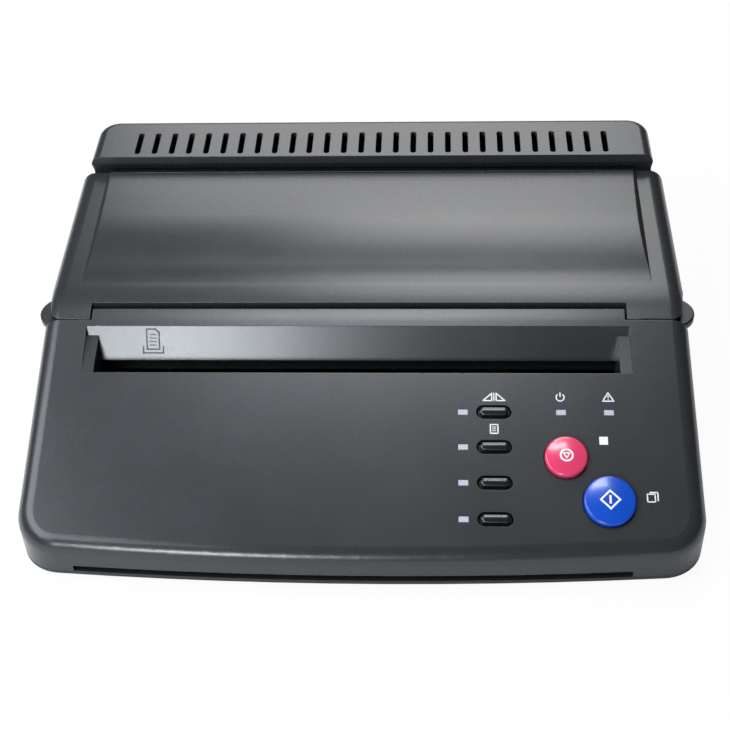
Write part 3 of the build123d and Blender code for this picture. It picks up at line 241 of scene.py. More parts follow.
class Net:
    """The nodes of one material."""

    def __init__(self, name):
        self.material = bpy.data.materials.new(name)
        self.material.use_nodes = True
        self.tree = self.material.node_tree
        self.tree.nodes.clear()

    def add(self, kind, settings=None, sockets=None, out=0):
        node = self.tree.nodes.new(kind)
        for key, value in (settings or {}).items():
            if key == "stops":
                ramp = node.color_ramp.elements
                while len(ramp) < len(value):
                    ramp.new(0.5)
                for stop, (place, colour) in zip(ramp, value):
                    stop.position = place
                    stop.color = (*colour, 1) if len(colour) == 3 else colour
            else:
                setattr(node, key, value)
        for key, value in (sockets or {}).items():
            if isinstance(value, Wire):
                self.tree.links.new(value.socket, node.inputs[key])
            else:
                node.inputs[key].default_value = value
        return Wire(self, node.outputs[out]) if node.outputs else None

    def place(self, scale=(1, 1, 1), turn=(0, 0, 0)):
        return self.add(
            "ShaderNodeMapping", {}, {
                "Vector": self.add("ShaderNodeTexCoord", out="Object"), "Scale": scale, "Rotation": turn,
            },
        )

    def noise(self, size, detail=2.0, scale=(1, 1, 1), roughness=0.5):
        return self.add(
            "ShaderNodeTexNoise", {},
            {"Vector": self.place(scale), "Scale": 1 / size, "Detail": detail, "Roughness": roughness},
        )

    def tint(self, factor, low, high):
        """A colour between two, which are three numbers each or wires."""
        low, high = (end if isinstance(end, Wire) else (*end, 1) for end in (low, high))
        return self.add(
            "ShaderNodeMix", {"data_type": "RGBA"}, {"Factor": factor, 6: low, 7: high}, out=2,
        )

    def spot(self):
        """The wires of a place on the piece: across, back and up."""
        coordinates = self.add("ShaderNodeTexCoord", out="Object")
        parts = self.add("ShaderNodeSeparateXYZ", {}, {"Vector": coordinates})
        return [Wire(self, output) for output in parts.socket.node.outputs]

    def bump(self, height, depth, strength=1.0, normal=None):
        sockets = {"Height": height, "Distance": depth, "Strength": strength}
        if normal is not None:
            sockets["Normal"] = normal
        return self.add("ShaderNodeBump", {}, sockets)

    def soft_edges(self, radius):
        return self.add("ShaderNodeBevel", {"samples": 6}, {"Radius": radius})

    def finish(self, sockets):
        shader = self.add("ShaderNodeBsdfPrincipled", {}, sockets)
        self.add("ShaderNodeOutputMaterial", {}, {"Surface": shader})
        return self.material


# ---------------------------------------------------------------- finishes
def darker(colour, share):
    return tuple(channel * share for channel in colour)


def moulded(name, colour, roughness, grain, grain_size=0.00035, coat=0.0, edge=0.0004):
    """Moulded plastic: fine even grain, faint mottling and slight changes of gloss."""
    net = Net(name)
    mottle = net.noise(0.03, 3.0)
    fine = net.noise(grain_size, 1.0)
    sockets = {
        "Base Color": net.tint(mottle, darker(colour, 0.9), darker(colour, 1.1)),
        "Roughness": roughness + (mottle - 0.5) * 0.05 + (fine - 0.5) * 0.04,
        "Normal": net.bump(fine, grain, 0.6, net.soft_edges(edge)),
    }
    if coat:
        sockets["Coat Weight"] = coat
        sockets["Coat Roughness"] = 0.12
    return net.finish(sockets)


def plated(name, colour, roughness=0.3):
    """Zinc-plated sheet: crystal flakes and rolling marks."""
    net = Net(name)
    flakes = net.add(
        "ShaderNodeTexVoronoi", {"feature": "F1"},
        {"Vector": net.place(), "Scale": 420.0, "Randomness": 1.0}, out=1,
    )
    shade = net.add("ShaderNodeSeparateColor", {}, {"Color": flakes})
    rolled = net.noise(0.0012, 2.0, (1, 12, 1))
    return net.finish({
        "Base Color": net.tint(shade * 0.6 + rolled * 0.4, darker(colour, 0.82), colour),
        "Metallic": 1.0,
        "Roughness": roughness + shade * 0.08 + rolled * 0.08,
        "Normal": net.bump(rolled, 0.00001, 0.5),
    })


def turned(name, colour, axis_scale=(14, 1, 1), roughness=0.22):
    """Turned or drawn metal: fine rings round the bar."""
    net = Net(name)
    rings = net.noise(0.0022, 3.0, axis_scale, 0.7)
    return net.finish({
        "Base Color": net.tint(rings, darker(colour, 0.85), colour),
        "Metallic": 1.0,
        "Roughness": roughness + rings * 0.14,
        "Normal": net.bump(rings, 0.000012, 0.5),
    })


def ground_rubber(name, colour):
    """Roller rubber, ground to a dull even nap."""
    net = Net(name)
    nap = net.noise(0.0004, 4.0, (1.0, 1.0, 1.0), 0.7)
    wear = net.noise(0.02, 2.0, (0.3, 1, 1))
    return net.finish({
        "Base Color": net.tint(wear, darker(colour, 0.75), darker(colour, 1.25)),
        "Roughness": 0.62 + wear * 0.12 + nap * 0.08,
        "Normal": net.bump(nap, 0.00003, 0.7),
    })


def heater_ceramic(name):
    """Glazed ceramic with the heater line and its fan of conductors."""
    net = Net(name)
    along, across, _ = net.spot()
    offset = across - HEATER_LINE[0]
    line = offset.maths("ABSOLUTE").under(HEATER_LINE[1])
    stripes = (along * CONDUCTORS_PER_METRE).maths("FRACT").above(0.5)
    fan = offset.above(CONDUCTOR_START) * stripes
    soft = net.noise(0.004, 2.0)
    glaze = net.tint(soft, (0.62, 0.64, 0.6), (0.72, 0.73, 0.7))
    wired = net.tint(fan * 0.6, glaze, (0.5, 0.33, 0.12))
    heated = net.tint(line, wired, (0.08, 0.06, 0.05))
    return net.finish({"Base Color": heated, "Roughness": 0.12 + soft * 0.08, "Coat Weight": 0.5})


def board_laminate(name, cans=(), coil=None):
    """Solder mask with tracks and tinned pads; what stands above the board is moulded black.

    Cans and the coil are spans across the machine where tall parts are bare metal or yellow tape.
    """
    net = Net(name)
    cells = net.add(
        "ShaderNodeTexBrick", {"offset": 0.37, "squash": 1.7, "squash_frequency": 3},
        {"Vector": net.place(), "Scale": 260.0, "Mortar Size": 0.12, "Color1": (0, 0, 0, 1),
         "Color2": (0.25, 0.25, 0.25, 1), "Mortar": (1, 1, 1, 1)},
    )
    tracks = net.add("ShaderNodeSeparateColor", {}, {"Color": cells})
    pads = net.add(
        "ShaderNodeTexVoronoi", {}, {"Vector": net.place(), "Scale": 300.0, "Randomness": 0.75},
    ).under(0.16)
    mask = net.tint(tracks, (0.008, 0.075, 0.03), (0.02, 0.16, 0.07))
    across, _, height = net.spot()
    tall = height.above((BOARD_TOP + 0.15) * MM)
    metal = pads * (1 - tall)
    colour = net.tint(tall, net.tint(pads, mask, (0.6, 0.6, 0.58)), (0.013, 0.013, 0.015))
    for low, high in cans:
        here = tall * across.above(low * MM) * across.under(high * MM)
        metal = metal + here
        colour = net.tint(here, colour, (0.6, 0.61, 0.63))
    if coil:
        here = tall * across.above(coil[0] * MM) * across.under(coil[1] * MM)
        colour = net.tint(here, colour, (0.75, 0.45, 0.05))
    return net.finish({
        "Base Color": colour, "Metallic": metal, "Roughness": 0.36 - metal * 0.06,
        "Normal": net.bump(tracks, 0.00004, 0.5),
    })


def marked_gloss(name, colour):
    """Glossy black with the usual bar and ring of a mains rocker."""
    net = Net(name)
    across, _, height = net.spot()
    across = (across - ROCKER_MIDDLE[0] * MM).maths("ABSOLUTE")
    height = height - ROCKER_MIDDLE[1] * MM
    bar = across.under(0.3 * MM) * (height - ROCKER_MARK * MM).maths("ABSOLUTE").under(1.5 * MM)
    low = height + ROCKER_MARK * MM
    reach = (across * across + low * low).maths("SQRT")
    hoop = reach.under(1.6 * MM) * reach.above(1.05 * MM)
    speck = net.noise(0.0008, 1.0)
    mark = (bar + hoop).maths("MINIMUM", 1.0)
    return net.finish({
        "Base Color": net.tint(mark, colour, (0.8, 0.8, 0.8)),
        "Roughness": 0.2 + speck * 0.05 + mark * 0.15,
        "Normal": net.bump(speck, 0.000001, 0.5, net.soft_edges(0.0004)),
    })


def clear_glass(name):
    net = Net(name)
    dust = net.noise(0.006, 3.0)
    return net.finish({
        "Base Color": (0.82, 0.9, 0.88, 1), "Roughness": 0.04 + dust * 0.05,
        "Transmission Weight": 0.85, "IOR": 1.5,
    })


def printed(name, colour):
    net = Net(name)
    screen = net.noise(0.0002, 2.0)
    return net.finish({
        "Base Color": net.tint(screen, darker(colour, 0.93), colour),
        "Roughness": 0.42 + screen * 0.1,
        "Normal": net.bump(screen, 0.000004, 0.5),
    })


def frosted_lamp(name, colour):
    net = Net(name)
    haze = net.noise(0.001, 2.0)
    return net.finish({
        "Base Color": net.tint(haze, darker(colour, 0.88), colour),
        "Roughness": 0.3 + haze * 0.12, "Coat Weight": 0.4,
    })


finishes = {}


def mix_finishes(look):
    """All finishes of the machine, from the colours in the panel."""
    shell = tuple(look.shell_colour)
    finishes.update({
        "shell": moulded("shell", shell, look.shell_roughness, look.shell_grain),
        "cover_shell": moulded("cover_shell", shell, look.shell_roughness, look.shell_grain),
        "black_shell": moulded("black_shell", darker(shell, 0.6), 0.45, 2 * look.shell_grain),
        "black_part": moulded("black_part", (0.012, 0.012, 0.013), 0.42, 0.00003, 0.0006),
        "guide_black": moulded("guide_black", (0.006, 0.006, 0.007), 0.75, 0.00002, 0.0006),
        "black_gloss": moulded("black_gloss", (0.01, 0.011, 0.013), 0.25, 0.000001, 0.0008, coat=0.4),
        "red_key": moulded("red_key", tuple(look.stop_colour), 0.24, 0.000001, 0.0008, coat=0.45),
        "blue_key": moulded("blue_key", tuple(look.copy_colour), 0.24, 0.000001, 0.0008, coat=0.45),
        "lamp": frosted_lamp("lamp", tuple(look.lamp_colour)),
        "foot_rubber": ground_rubber("foot_rubber", (0.018, 0.018, 0.018)),
        "roller_rubber": ground_rubber("roller_rubber", (0.03, 0.03, 0.032)),
        "zinc_plate": plated("zinc_plate", (0.62, 0.63, 0.65)),
        "steel": turned("steel", (0.6, 0.6, 0.61)),
        "spring_steel": turned("spring_steel", (0.45, 0.45, 0.47), (3, 3, 3)),
        "screw_steel": turned("screw_steel", (0.5, 0.5, 0.52), (3, 3, 3)),
        "motor_case": moulded("motor_case", (0.02, 0.02, 0.022), 0.38, 0.00001),
        "brass_pinion": turned("brass_pinion", (0.7, 0.5, 0.2), (4, 1, 1)),
        "acetal": moulded("acetal", (0.78, 0.77, 0.72), 0.4, 0.00001),
        "aluminium": turned("aluminium", (0.72, 0.73, 0.75), (0.4, 14, 14), 0.28),
        "ceramic": heater_ceramic("ceramic"),
        "glass": clear_glass("glass"),
        "circuit_board": board_laminate("circuit_board"),
        "main_circuit": board_laminate("main_circuit", MAIN_CANS),
        "power_circuit": board_laminate("power_circuit", POWER_CANS, TRANSFORMER),
        "marked_gloss": marked_gloss("marked_gloss", (0.012, 0.012, 0.014)),
        "ink": printed("ink", tuple(look.ink_colour)),
        "dark_ink": printed("dark_ink", (0.03, 0.035, 0.045)),
    })


def dress(name, finish):
    """Gives a node its finish."""
    target = nodes[name]
    target.data.materials.clear()
    target.data.materials.append(finishes[finish])


# ---------------------------------------------------------------- making pieces
def put(name, data):
    """A new object in the scene."""
    thing = bpy.data.objects.new(name, data)
    bpy.context.scene.collection.objects.link(thing)
    return thing


def panel_place(across, up, rise=0.0):
    """The matrix that lays a drawing in millimetres on the control panel."""
    slope = Matrix.Rotation(PANEL_SLOPE, 4, "X")
    foot = Matrix.Translation(PANEL_FOOT)
    return foot @ slope @ Matrix.Translation(Vector((across, up, rise)) * MM) @ Matrix.Scale(MM, 4)


def new_piece(name, work, place, finish, body, smooth=None):
    """Turns a bmesh in millimetres into a piece that rides on a body."""
    bmesh.ops.recalc_face_normals(work, faces=work.faces)
    work.transform(place)
    mesh = bpy.data.meshes.new(name)
    work.to_mesh(mesh)
    work.free()
    mesh.materials.append(finishes[finish])
    if smooth is not None:
        mesh.shade_smooth()
        mesh.set_sharp_from_angle(angle=math.radians(smooth))
    piece = put(name, mesh)
    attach(piece, body)
    return piece


def pill_outline(length, width, inset, steps=10):
    """Points round a bar with round ends, drawn in by an inset."""
    radius = width / 2 - inset
    half = (length - width) / 2
    turns = [math.pi * (step / steps - 0.5) for step in range(steps + 1)]
    right = [(half + radius * math.cos(turn), radius * math.sin(turn)) for turn in turns]
    return right + [(-x, -y) for x, y in right]


def round_outline(width, inset, steps=48):
    radius = width / 2 - inset
    return [
        (radius * math.cos(math.tau * step / steps), radius * math.sin(math.tau * step / steps))
        for step in range(steps)
    ]


def stack(work, rings):
    """Joins outlines of equal counts at their heights into a closed body."""
    levels = [[work.verts.new((x, y, height)) for x, y in outline] for outline, height in rings]
    for low, high in zip(levels, levels[1:]):
        for step in range(len(low)):
            after = (step + 1) % len(low)
            work.faces.new((low[step], low[after], high[after], high[step]))
    work.faces.new(levels[0][::-1])
    work.faces.new(levels[-1])


def strip(points, width, closed=False, pieces=6):
    """Corners of the quads that draw a line of even width through points."""
    quads = []
    legs = list(zip(points, points[1:] + points[:1] if closed else points[1:]))
    for (x0, y0), (x1, y1) in legs:
        length = math.hypot(x1 - x0, y1 - y0)
        along = ((x1 - x0) / length, (y1 - y0) / length)
        reach = width / 2 if closed or len(points) > 2 else 0.0
        x0, y0 = x0 - along[0] * reach, y0 - along[1] * reach
        x1, y1 = x1 + along[0] * reach, y1 + along[1] * reach
        side = (-along[1] * width / 2, along[0] * width / 2)
        for part in range(pieces):
            a, b = part / pieces, (part + 1) / pieces
            xa, ya = x0 + (x1 - x0) * a, y0 + (y1 - y0) * a
            xb, yb = x0 + (x1 - x0) * b, y0 + (y1 - y0) * b
            quads.append((
                (xa - side[0], ya - side[1]), (xb - side[0], yb - side[1]),
                (xb + side[0], yb + side[1]), (xa + side[0], ya + side[1]),
            ))
    return quads


def arc(radius, start, end, steps):
    """Points along an arc, in degrees from the right, anticlockwise."""
    turns = [math.radians(start + (end - start) * step / steps) for step in range(steps + 1)]
    return [(radius * math.cos(turn), radius * math.sin(turn)) for turn in turns]


def ring(radius, width, start=0.0, end=360.0, steps=32):
    """Corners of the quads that draw a ring or a part of one."""
    inner = arc(radius - width / 2, start, end, steps)
    outer = arc(radius + width / 2, start, end, steps)
    return [(inner[step], outer[step], outer[step + 1], inner[step + 1]) for step in range(steps)]


def sign(name, quads, place, finish, body, surface=lambda x, y: 0.0):
    """A printed sign: each quad becomes a thin plate that follows the surface under it."""
    thickness = bpy.context.scene.copier_detail.ink_thickness / MM
    work = bmesh.new()
    for corners in quads:
        low = [work.verts.new((x, y, surface(x, y) - thickness / 2)) for x, y in corners]
        high = [work.verts.new((x, y, surface(x, y) + thickness)) for x, y in corners]
        work.faces.new(low[::-1])
        work.faces.new(high)
        for step in range(len(corners)):
            after = (step + 1) % len(corners)
            work.faces.new((low[step], low[after], high[after], high[step]))
    return new_piece(name, work, place, finish, body)


# ---------------------------------------------------------------- geometry nodes
class Tree:
    """A Geometry Nodes tree with named inputs, which ends in a plain mesh with its material."""

    def __init__(self, name, inputs):
        self.tree = bpy.data.node_groups.new(name, "GeometryNodeTree")
        self.tree.interface.new_socket(name="Geometry", in_out="INPUT", socket_type="NodeSocketGeometry")
        self.sockets = {}
        for label, value in inputs.items():
            kind = "NodeSocketInt" if isinstance(value, int) else "NodeSocketFloat"
            socket = self.tree.interface.new_socket(name=label, in_out="INPUT", socket_type=kind)
            socket.default_value = value
            self.sockets[label] = socket.identifier
        self.tree.interface.new_socket(name="Geometry", in_out="OUTPUT", socket_type="NodeSocketGeometry")
        self.entry = self.tree.nodes.new("NodeGroupInput")

    def add(self, kind, settings=None, sockets=None, out=0):
        node = self.tree.nodes.new(kind)
        for key, value in (settings or {}).items():
            setattr(node, key, value)
        for key, value in (sockets or {}).items():
            if isinstance(value, bpy.types.NodeSocket):
                self.tree.links.new(value, node.inputs[key])
            else:
                node.inputs[key].default_value = value
        return node.outputs[out]

    def close(self, geometry, finish):
        real = self.add("GeometryNodeRealizeInstances", {}, {0: geometry})
        dressed = self.add("GeometryNodeSetMaterial", {}, {"Geometry": real, "Material": finishes[finish]})
        self.tree.links.new(dressed, self.tree.nodes.new("NodeGroupOutput").inputs[0])
        return self.tree


def grow(name, tree, body, values, base=None):
    """Runs a tree with its inputs set, and keeps the result as a plain mesh on a body."""
    seed = put(name + "_seed", base or bpy.data.meshes.new(name + "_seed"))
    modifier = seed.modifiers.new("grow", "NODES")
    modifier.node_group = tree.tree
    for label, value in values.items():
        modifier[tree.sockets[label]] = value
    bpy.context.view_layer.update()
    grown = seed.evaluated_get(bpy.context.evaluated_depsgraph_get())
    mesh = bpy.data.meshes.new_from_object(grown)
    bpy.data.objects.remove(seed)
    mesh.name = name
    piece = put(name, mesh)
    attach(piece, body)
    return piece


def coil_tree(name, finish):
    """A helix of wire: its radius, length, turns and wire are inputs, and it starts at a place."""
    tree = Tree(name, {
        "Radius": 0.002, "Length": 0.004, "Turns": 4.0, "Wire": 0.0005, "Across": 0.0, "Back": 0.0,
        "Height": 0.0, "Tip": 0.0,
    })
    entry = {socket.name: socket for socket in tree.entry.outputs}
    spiral = tree.add("GeometryNodeCurveSpiral", {}, {
        "Resolution": 18, "Rotations": entry["Turns"], "Start Radius": entry["Radius"],
        "End Radius": entry["Radius"], "Height": entry["Length"],
    })
    wire = tree.add("GeometryNodeCurvePrimitiveCircle", {}, {"Resolution": 8, "Radius": entry["Wire"]})
    tube = tree.add("GeometryNodeCurveToMesh", {}, {
        "Curve": spiral, "Profile Curve": wire, "Fill Caps": True,
    })
    tip = tree.add("ShaderNodeCombineXYZ", {}, {"Y": entry["Tip"]})
    place = tree.add("ShaderNodeCombineXYZ", {}, {
        "X": entry["Across"], "Y": entry["Back"], "Z": entry["Height"],
    })
    coil = tree.add("GeometryNodeTransform", {}, {
        "Geometry": tube, "Translation": place, "Rotation": tip,
    })
    shaded = tree.add("GeometryNodeSetShadeSmooth", {}, {"Geometry": coil})
    tree.close(shaded, finish)
    return tree


def screw_tree(name, finish):
    """Round screw heads with a cross recess at the points of a mesh, facing up or down."""
    tree = Tree(name, {"Width": 0.005, "Thickness": 0.0012, "Tip": 0.0})
    entry = {socket.name: socket for socket in tree.entry.outputs}
    half = tree.add("ShaderNodeMath", {"operation": "MULTIPLY"}, {0: entry["Width"], 1: 0.5})
    top = tree.add("ShaderNodeMath", {"operation": "MULTIPLY"}, {0: entry["Width"], 1: 0.34})
    arm = tree.add("ShaderNodeMath", {"operation": "MULTIPLY"}, {0: entry["Width"], 1: 0.52})
    slim = tree.add("ShaderNodeMath", {"operation": "MULTIPLY"}, {0: entry["Width"], 1: 0.12})
    head = tree.add("GeometryNodeMeshCone", {}, {
        "Vertices": 24, "Radius Top": top, "Radius Bottom": half, "Depth": entry["Thickness"],
    })
    long_arm = tree.add("ShaderNodeCombineXYZ", {}, {"X": arm, "Y": slim, "Z": entry["Thickness"]})
    wide_arm = tree.add("ShaderNodeCombineXYZ", {}, {"X": slim, "Y": arm, "Z": entry["Thickness"]})
    lift = tree.add("ShaderNodeMath", {"operation": "MULTIPLY"}, {0: entry["Thickness"], 1: 0.95})
    lifted = tree.add("ShaderNodeCombineXYZ", {}, {"Z": lift})
    cut = head
    for size in (long_arm, wide_arm):
        block = tree.add("GeometryNodeMeshCube", {}, {"Size": size})
        raised = tree.add("GeometryNodeTransform", {}, {"Geometry": block, "Translation": lifted})
        boolean = tree.tree.nodes.new("GeometryNodeMeshBoolean")
        boolean.operation = "DIFFERENCE"
        tree.tree.links.new(cut, boolean.inputs["Mesh 1"])
        tree.tree.links.new(raised, boolean.inputs["Mesh 2"])
        cut = boolean.outputs[0]
    tip = tree.add("ShaderNodeCombineXYZ", {}, {"X": entry["Tip"]})
    turned_head = tree.add("GeometryNodeTransform", {}, {"Geometry": cut, "Rotation": tip})
    placed = tree.add("GeometryNodeInstanceOnPoints", {}, {
        "Points": tree.entry.outputs["Geometry"], "Instance": turned_head,
    })
    tree.close(placed, finish)
    return tree


def spots_mesh(name, spots):
    """A mesh of loose points, given in millimetres."""
    mesh = bpy.data.meshes.new(name)
    mesh.from_pydata([tuple(value * MM for value in spot) for spot in spots], [], [])
    return mesh


class COPIER_OT_shells(bpy.types.Operator):
    """Housing, cover, vent rail, base tray and feet"""

    bl_idname = "copier.shells"
    bl_label = "Shells"

    def execute(self, context):
        for name in ("main_housing", "vent_rail"):
            dress(name, "shell")
        dress("top_cover", "cover_shell")
        dress("base_tray", "black_shell")
        dress("rubber_feet", "foot_rubber")
        return {"FINISHED"}


class COPIER_OT_mechanism(bpy.types.Operator):
    """Frames, pins, rollers, gears, motor, head, scanner, guides and latch"""

    bl_idname = "copier.mechanism"
    bl_label = "Mechanism"

    def execute(self, context):
        for name in ("side_frame_left", "side_frame_right"):
            dress(name, "zinc_plate")
        for name in (
            "strikers", "tie_bars", "gear_studs", "hinge_pin_left", "hinge_pin_right", "latch_shaft",
            "platen_shaft", "feed_shaft", "motor_shaft",
        ):
            dress(name, "steel")
        for name in ("platen_roller", "feed_roller"):
            dress(name, "roller_rubber")
        for name in (
            "platen_bushes", "feed_bushes", "platen_gear", "feed_gear", "drive_gear",
            "idler_gear_rear", "idler_gear_middle", "idler_gear_front",
        ):
            dress(name, "acetal")
        dress("motor_pinion", "brass_pinion")
        dress("stepper_motor", "motor_case")
        dress("thermal_head", "aluminium")
        dress("head_element", "ceramic")
        dress("image_sensor", "black_part")
        dress("sensor_glass", "glass")
        for name in ("front_guide", "rear_guide", "exit_chute"):
            dress(name, "guide_black")
        for name in ("latch_lever_left", "latch_lever_right"):
            dress(name, "black_part")
        return {"FINISHED"}


class COPIER_OT_electrics(bpy.types.Operator):
    """Circuit boards, switches, lamps, inlet and mains switch"""

    bl_idname = "copier.electrics"
    bl_label = "Electrics"

    def execute(self, context):
        dress("panel_board", "circuit_board")
        dress("main_board", "main_circuit")
        dress("power_board", "power_circuit")
        dress("panel_switches", "black_part")
        for name in ("mode_lamps", "status_lamps"):
            dress(name, "lamp")
        dress("mains_inlet", "black_part")
        dress("rocker_frame", "black_part")
        dress("inlet_pins", "steel")
        dress("power_rocker", "marked_gloss")
        return {"FINISHED"}


class COPIER_OT_keys(bpy.types.Operator):
    """Four mode keys, the stop key and the copy key"""

    bl_idname = "copier.keys"
    bl_label = "Keys"

    def execute(self, context):
        for row, up in enumerate(KEY_ROWS):
            self.mode_key(row + 1, up)
        self.round_key("stop_key", "stop", STOP_SPOT, STOP_WIDTH, "red_key")
        self.round_key("copy_key", "copy", COPY_SPOT, COPY_WIDTH, "blue_key")
        return {"FINISHED"}

    def mode_key(self, number, up):
        """A bar with round ends and a crowned top, over its flange."""
        length, width = KEY_SIZE
        rings = [
            (pill_outline(length + 2.0, width + 2.0, 0.0), -4.0),
            (pill_outline(length + 2.0, width + 2.0, 0.0), -3.0),
            (pill_outline(length, width, 0.0), -3.0),
            (pill_outline(length, width, 0.0), -1.4),
            (pill_outline(length, width, LEDGE), -1.4),
        ]
        shoulder, steps = 0.45, 10
        reach = width / 2 - LEDGE
        for step in range(steps + 1):
            inset = LEDGE + (reach - 0.05) * (1 - math.cos(math.pi / 2 * step / steps))
            share = 1 - (inset - LEDGE) / reach
            rise = shoulder + (KEY_RISE - shoulder) * (1 - share ** 2.4) ** (1 / 2.4)
            rings.append((pill_outline(length, width, inset), rise))
        work = bmesh.new()
        stack(work, rings)
        name = "mode_key_%d" % number
        place = panel_place(KEY_ACROSS, up)
        piece = new_piece(name + "_cap", work, place, "black_gloss", "key_%d" % number, 35)
        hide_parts(name)

    def round_key(self, name, body, spot, width, finish):
        """A round cap with a rolled rim and a shallow dome."""
        rings = [
            (round_outline(width + 2.0, 0.0), -4.0),
            (round_outline(width + 2.0, 0.0), -3.0),
            (round_outline(width, 0.0), -3.0),
        ]
        steps = 8
        for step in range(steps + 1):
            turn = math.pi / 2 * step / steps
            inset = RIM_ROUND * (1 - math.cos(turn))
            fall = CROWN_RISE + RIM_ROUND * (1 - math.sin(turn))
            rings.append((round_outline(width, inset), ROUND_RISE - fall))
        for step in range(1, 13):
            radius = (width / 2 - RIM_ROUND) * (1 - step / 12.5)
            rings.append((round_outline(2 * radius, 0.0), ROUND_RISE + crown(width)(radius, 0.0)))
        work = bmesh.new()
        stack(work, rings)
        piece = new_piece(name + "_cap", work, panel_place(*spot), finish, body, 35)
        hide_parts(name)


class COPIER_OT_springs(bpy.types.Operator):
    """Coil springs over the thermal head and on the latch shaft"""

    bl_idname = "copier.springs"
    bl_label = "Springs"

    def execute(self, context):
        wire = context.scene.copier_detail.coil_wire
        coil = coil_tree("spring_coil", "spring_steel")
        low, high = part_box("head_springs")
        radius = (high[1] - low[1]) / 2
        for number, across in enumerate((low[0] + radius, (low[0] + high[0]) / 2, high[0] - radius)):
            spring = grow("head_spring_%d" % (number + 1), coil, body_of(nodes["head_springs"])[0], {
                "Radius": radius - wire / 2, "Length": high[2] - low[2] - wire, "Turns": 4.5,
                "Wire": wire / 2, "Across": across, "Back": (low[1] + high[1]) / 2,
                "Height": low[2] + wire / 2,
            })
            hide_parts("head_springs")
        low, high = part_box("latch_spring")
        thick = 1.6 * wire
        spring = grow("latch_coil", coil, body_of(nodes["latch_spring"])[0], {
            "Radius": (high[1] - low[1]) / 2 - thick / 2, "Length": high[0] - low[0] - thick, "Turns": 11.0,
            "Wire": thick / 2, "Across": low[0] + thick / 2, "Back": (low[1] + high[1]) / 2,
            "Height": (low[2] + high[2]) / 2, "Tip": math.pi / 2,
        })
        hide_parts("latch_spring")
        return {"FINISHED"}


class COPIER_OT_screws(bpy.types.Operator):
    """Screws under the tray and on the two boards"""

    bl_idname = "copier.screws"
    bl_label = "Screws"

    def execute(self, context):
        width = context.scene.copier_detail.screw_head
        heads = screw_tree("screw_heads", "screw_steel")
        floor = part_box("base_tray")[0][2] / MM
        under = [(*spot, floor) for spot in TRAY_SCREWS]
        grow("tray_screws", heads, "base", {"Width": 1.2 * width, "Thickness": 0.0010, "Tip": math.pi},
             spots_mesh("tray_screw_spots", under))
        for board in ("main_board", "power_board"):
            low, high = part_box(board)
            corners = [
                (across, back, BOARD_TOP)
                for across in (low[0] / MM + BOARD_SCREW_INSET, high[0] / MM - BOARD_SCREW_INSET)
                for back in (low[1] / MM + BOARD_SCREW_INSET, high[1] / MM - BOARD_SCREW_INSET)
            ]
            grow(board + "_screws", heads, "base", {"Width": width, "Thickness": 0.0012, "Tip": 0.0},
                 spots_mesh(board + "_screw_spots", corners))
        return {"FINISHED"}


